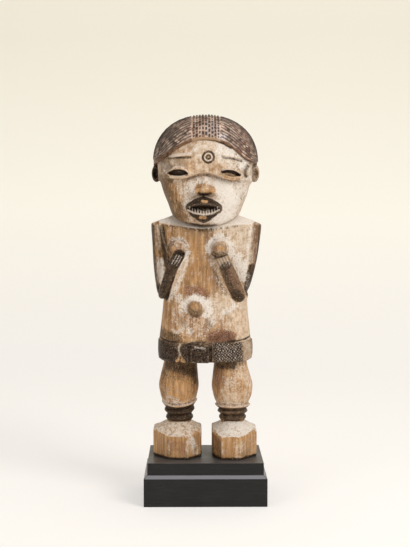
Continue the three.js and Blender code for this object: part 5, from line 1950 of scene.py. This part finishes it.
def make_head():
    left_ear = both(right_of(-53.4, -55), behind(-12, -7))
    right_ear = both(right_of(54, 55.6), behind(-12, -7))
    under_chin_shade = both(facing((0, -0.2, -1), 0.5, 0.9), between(300, 326, 3))
    return carve(
        "head",
        head_block,
        from_photo(HEAD_PAINT, FRONTS["head"]) + RING_PAINT + TOOTH_PAINT + GUM_PAINT,
        {"film": 0.56, "clay": 0.06, "stain": 0.24, "rust": 0.2, "glow": 0.36, "crust": 0.05},
        [
            ("film", 0.4, both(between(318, 372, 6), right_of(-20, 10))),
            ("clay", 0.32, both(between(318, 372, 6), right_of(-24, 6))),
            # Painted shade on the chin's underside, except at its right
            ("crust", 0.7, both(under_chin_shade, right_of(20, 8))),
            ("stain", 0.6, both(right_of(-51, -54.5), between(370, 388, 8))),
            ("crust", 0.95, both(left_ear, between(364, 394, 2))),
            ("crust", 0.42, both(right_ear, between(364, 394, 2))),
            ("film", 0.8, both(right_ear, between(372, 390, 2))),
            ("stain", 0.5, behind(0, 14)),
            ("crust", 0.3, behind(0, 14)),
        ],
    )


def make_trunk():
    left_side, right_side = facing((-1, 0, 0), 0.4, 0.9), facing((1, 0, 0), 0.4, 0.9)
    return carve(
        "trunk",
        trunk_block,
        from_photo(TRUNK_PAINT, FRONTS["trunk"]),
        {"film": 0.12, "clay": 0.04, "stain": 0.34, "rust": 0.18, "glow": 0.36, "crust": 0.06},
        [
            ("film", 0.62, right_of(4, 32)),
            ("glow", 0.3, right_of(10, -30)),
            ("clay", 0.85, both(upward(314, 334), behind(20, 0))),
            # The arms' outer sides: stain, with more on the left arm and crust there as painted shade on
            # the side away from the light
            ("stain", 0.6, both(right_of(-52, -58), left_side)),
            ("stain", 0.4, both(right_of(52, 58), right_side)),
            ("crust", 0.6, both(right_of(-56, -60), left_side)),
            ("stain", 0.4, behind(6, 20)),
            ("crust", 0.25, behind(6, 20)),
        ],
        from_photo(FOREARM_PAINT, FRONTS["trunk"]) + FINGER_PAINT,
    )


def make_waistband():
    knobs = both(lambda p, n: hatching(p[0], p[2]), both(right_of(9, 14), behind(-10, -22)))
    return carve(
        "waistband",
        band_block,
        from_photo(BAND_PAINT, FRONTS["waistband"]),
        {"crust": 0.68, "stain": 0.6, "film": 0.22, "clay": 0.1, "rust": 0.52, "glow": 0.16, "dust": 0.06},
        [
            ("crust", 0.5, right_of(8, 12)),
            ("dust", 0.34, both(knobs, between(HEM + 1, WAIST - 2, 1))),
            ("film", 0.25, right_of(44, 52)),
        ],
    )


def make_leg(name, leg):
    foot = between(SOLE, 84, 4)
    tones = leg["tones"]
    return carve(
        name,
        lambda step: leg_block(leg, step),
        from_photo(LEG_PAINT, FRONTS["legs"]),
        {"film": 0.06, "clay": 0.03, "stain": tones["stain"], "rust": 0.26, "glow": 0.6, "crust": 0.06},
        [
            # The foot's sides by the way they face: painted shade on those facing left, painted light with
            # less stain on those facing right, and the front between
            ("stain", tones["shade"], both(foot, facing((-1, -0.5, 0), 0.6, 0.9))),
            ("crust", tones["shade"] - 0.45, both(foot, facing((-1, -0.5, 0), 0.6, 0.9))),
            ("stain", tones["front"], both(foot, facing((0, -1, 0), 0.8, 0.97))),
            ("glow", 0.6, both(foot, facing((0, -1, 0), 0.3, 0.6))),
            ("stain", tones["sunny"], both(foot, facing((1, -0.5, 0), 0.6, 0.9))),
            ("crust", tones["rings"], on_collar(leg, between(ANKLE + 1.2, KNEE - 1.5, 1.2))),
            ("clay", 0.3, on_collar(leg, between(KNEE - 1, KNEE + 5, 3))),
            ("dust", 0.42, on_collar(leg, between(KNEE + 0.4, KNEE + 1.6, 0.5))),
            ("film", 0.6, upward(74, 93)),
            ("clay", tones["clay"], upward(74, 93)),
            ("film", 0.2, right_of(14, 44)),
            # A dark band along the bottom of the foot: painted shadow of the gap under it
            ("crust", 0.95, between(0, SOLE + 1.6, 1.2)),
            ("stain", 0.4, behind(4, 16)),
        ],
    )


wood = aged_wood()
figure = [
    make_head(),
    make_trunk(),
    make_waistband(),
    make_leg("left_leg", LEFT_LEG),
    make_leg("right_leg", RIGHT_LEG),
    make_hair(rubbed_hair()),
]
for piece in figure:
    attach(piece, "root")
    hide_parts("carved_figure")
plinth = make_plinth(ebonised_wood())
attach(plinth, "root")
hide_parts("stepped_plinth")


# The studio

PAPER = (0.56, 0.535, 0.48)
# The paper also glows with painted light: brightest about a third of a metre up, dimmer and warmer higher
# up
PAPER_PAINTED_LIGHT = ((0.15, (0.44, 0.43, 0.44)), (0.5, (0.50, 0.48, 0.42)), (1.0, (0.39, 0.36, 0.285)))
# The backdrop's run of paper, in metres: behind the camera, to the curve, its radius and its top
SWEEP = {"front": -2.5, "curve": 0.9, "radius": 0.9, "top": 3.2, "half_width": 3.2}
# Each lamp: its name, place, size in metres and power
LAMPS = [
    ("softbox", (1.3, -1.4, 1.6), (1.0, 1.0), 29),
    ("fill_panel", (-1.5, -1.7, 0.9), (1.2, 1.2), 10),
    ("top_panel", (0.2, -0.3, 2.2), (1.6, 1.2), 10),
]
LAMPS_AIM = (0, 0, 0.25)
AIR_LIGHT = (1, 0.97, 0.92)
# The camera's place in millimetres, its turn and fall in degrees, and the sensor's side that the
# photograph's height fills
CAMERA = {"place": (-15.5, -1378, 338.8), "turn": 0.64, "fall": 3.14, "sensor": 36}


def hang_backdrop():
    radius, curve = SWEEP["radius"], SWEEP["curve"]
    profile = [(SWEEP["front"], 0.0), (curve, 0.0)]
    for i in range(1, 13):
        angle = i / 12 * math.pi / 2
        profile.append((curve + radius * math.sin(angle), radius - radius * math.cos(angle)))
    profile.append((curve + radius, SWEEP["top"]))
    side = SWEEP["half_width"]
    points = [(x / MM, y / MM, z / MM) for y, z in profile for x in (-side, side)]
    faces = [(2 * i, 2 * i + 1, 2 * i + 3, 2 * i + 2) for i in range(len(profile) - 1)]
    backdrop = mesh_piece("backdrop", points, faces)
    paper, tree = new_material("cream_paper")
    shader = tree.nodes["Principled BSDF"]
    place = add_node(tree, "ShaderNodeTexCoord").outputs["Object"]
    height = add_node(tree, "ShaderNodeSeparateXYZ", {0: place}).outputs["Z"]
    # The paper's glow: painted light by height, with a little unevenness
    at = sums(tree)("MULTIPLY_ADD", noise(tree, place, 0.5, 2.0), 0.3, height)
    tree.links.new(ramp(tree, at, PAPER_PAINTED_LIGHT), shader.inputs["Emission Color"])
    shader.inputs["Emission Strength"].default_value = 1.0
    shader.inputs["Base Color"].default_value = (*PAPER, 1)
    shader.inputs["Roughness"].default_value = 0.9
    backdrop.data.materials.append(paper)


def add_to_scene(name, data, place, ahead):
    """An object that looks along a direction."""
    made = bpy.data.objects.new(name, data)
    made.location = place
    made.rotation_euler = ahead.to_track_quat("-Z", "Y").to_euler()
    bpy.context.scene.collection.objects.link(made)
    return made


def hang_lamps():
    for name, place, size, power in LAMPS:
        lamp = bpy.data.lights.new(name, "AREA")
        lamp.shape = "RECTANGLE"
        lamp.size, lamp.size_y = size
        lamp.energy = power
        add_to_scene(name, lamp, place, Vector(LAMPS_AIM) - Vector(place))
    world = bpy.data.worlds.new("studio_air")
    bpy.context.scene.world = world
    world.use_nodes = True
    air = world.node_tree.nodes["Background"]
    air.inputs["Color"].default_value = (*AIR_LIGHT, 1)
    air.inputs["Strength"].default_value = 0.36


def set_camera():
    camera = bpy.data.cameras.new("camera")
    camera.lens = CAMERA["sensor"] * PHOTO["focal"] / PHOTO["height"]
    camera.sensor_width = CAMERA["sensor"]
    camera.clip_end = 20
    turn, fall = math.radians(CAMERA["turn"]), math.radians(CAMERA["fall"])
    ahead = (math.sin(turn) * math.cos(fall), math.cos(turn) * math.cos(fall), -math.sin(fall))
    viewer = add_to_scene("camera", camera, Vector(CAMERA["place"]) * MM, Vector(ahead))
    bpy.context.scene.camera = viewer
    bpy.context.scene.view_settings.view_transform = "Standard"


hang_backdrop()
hang_lamps()
set_camera()
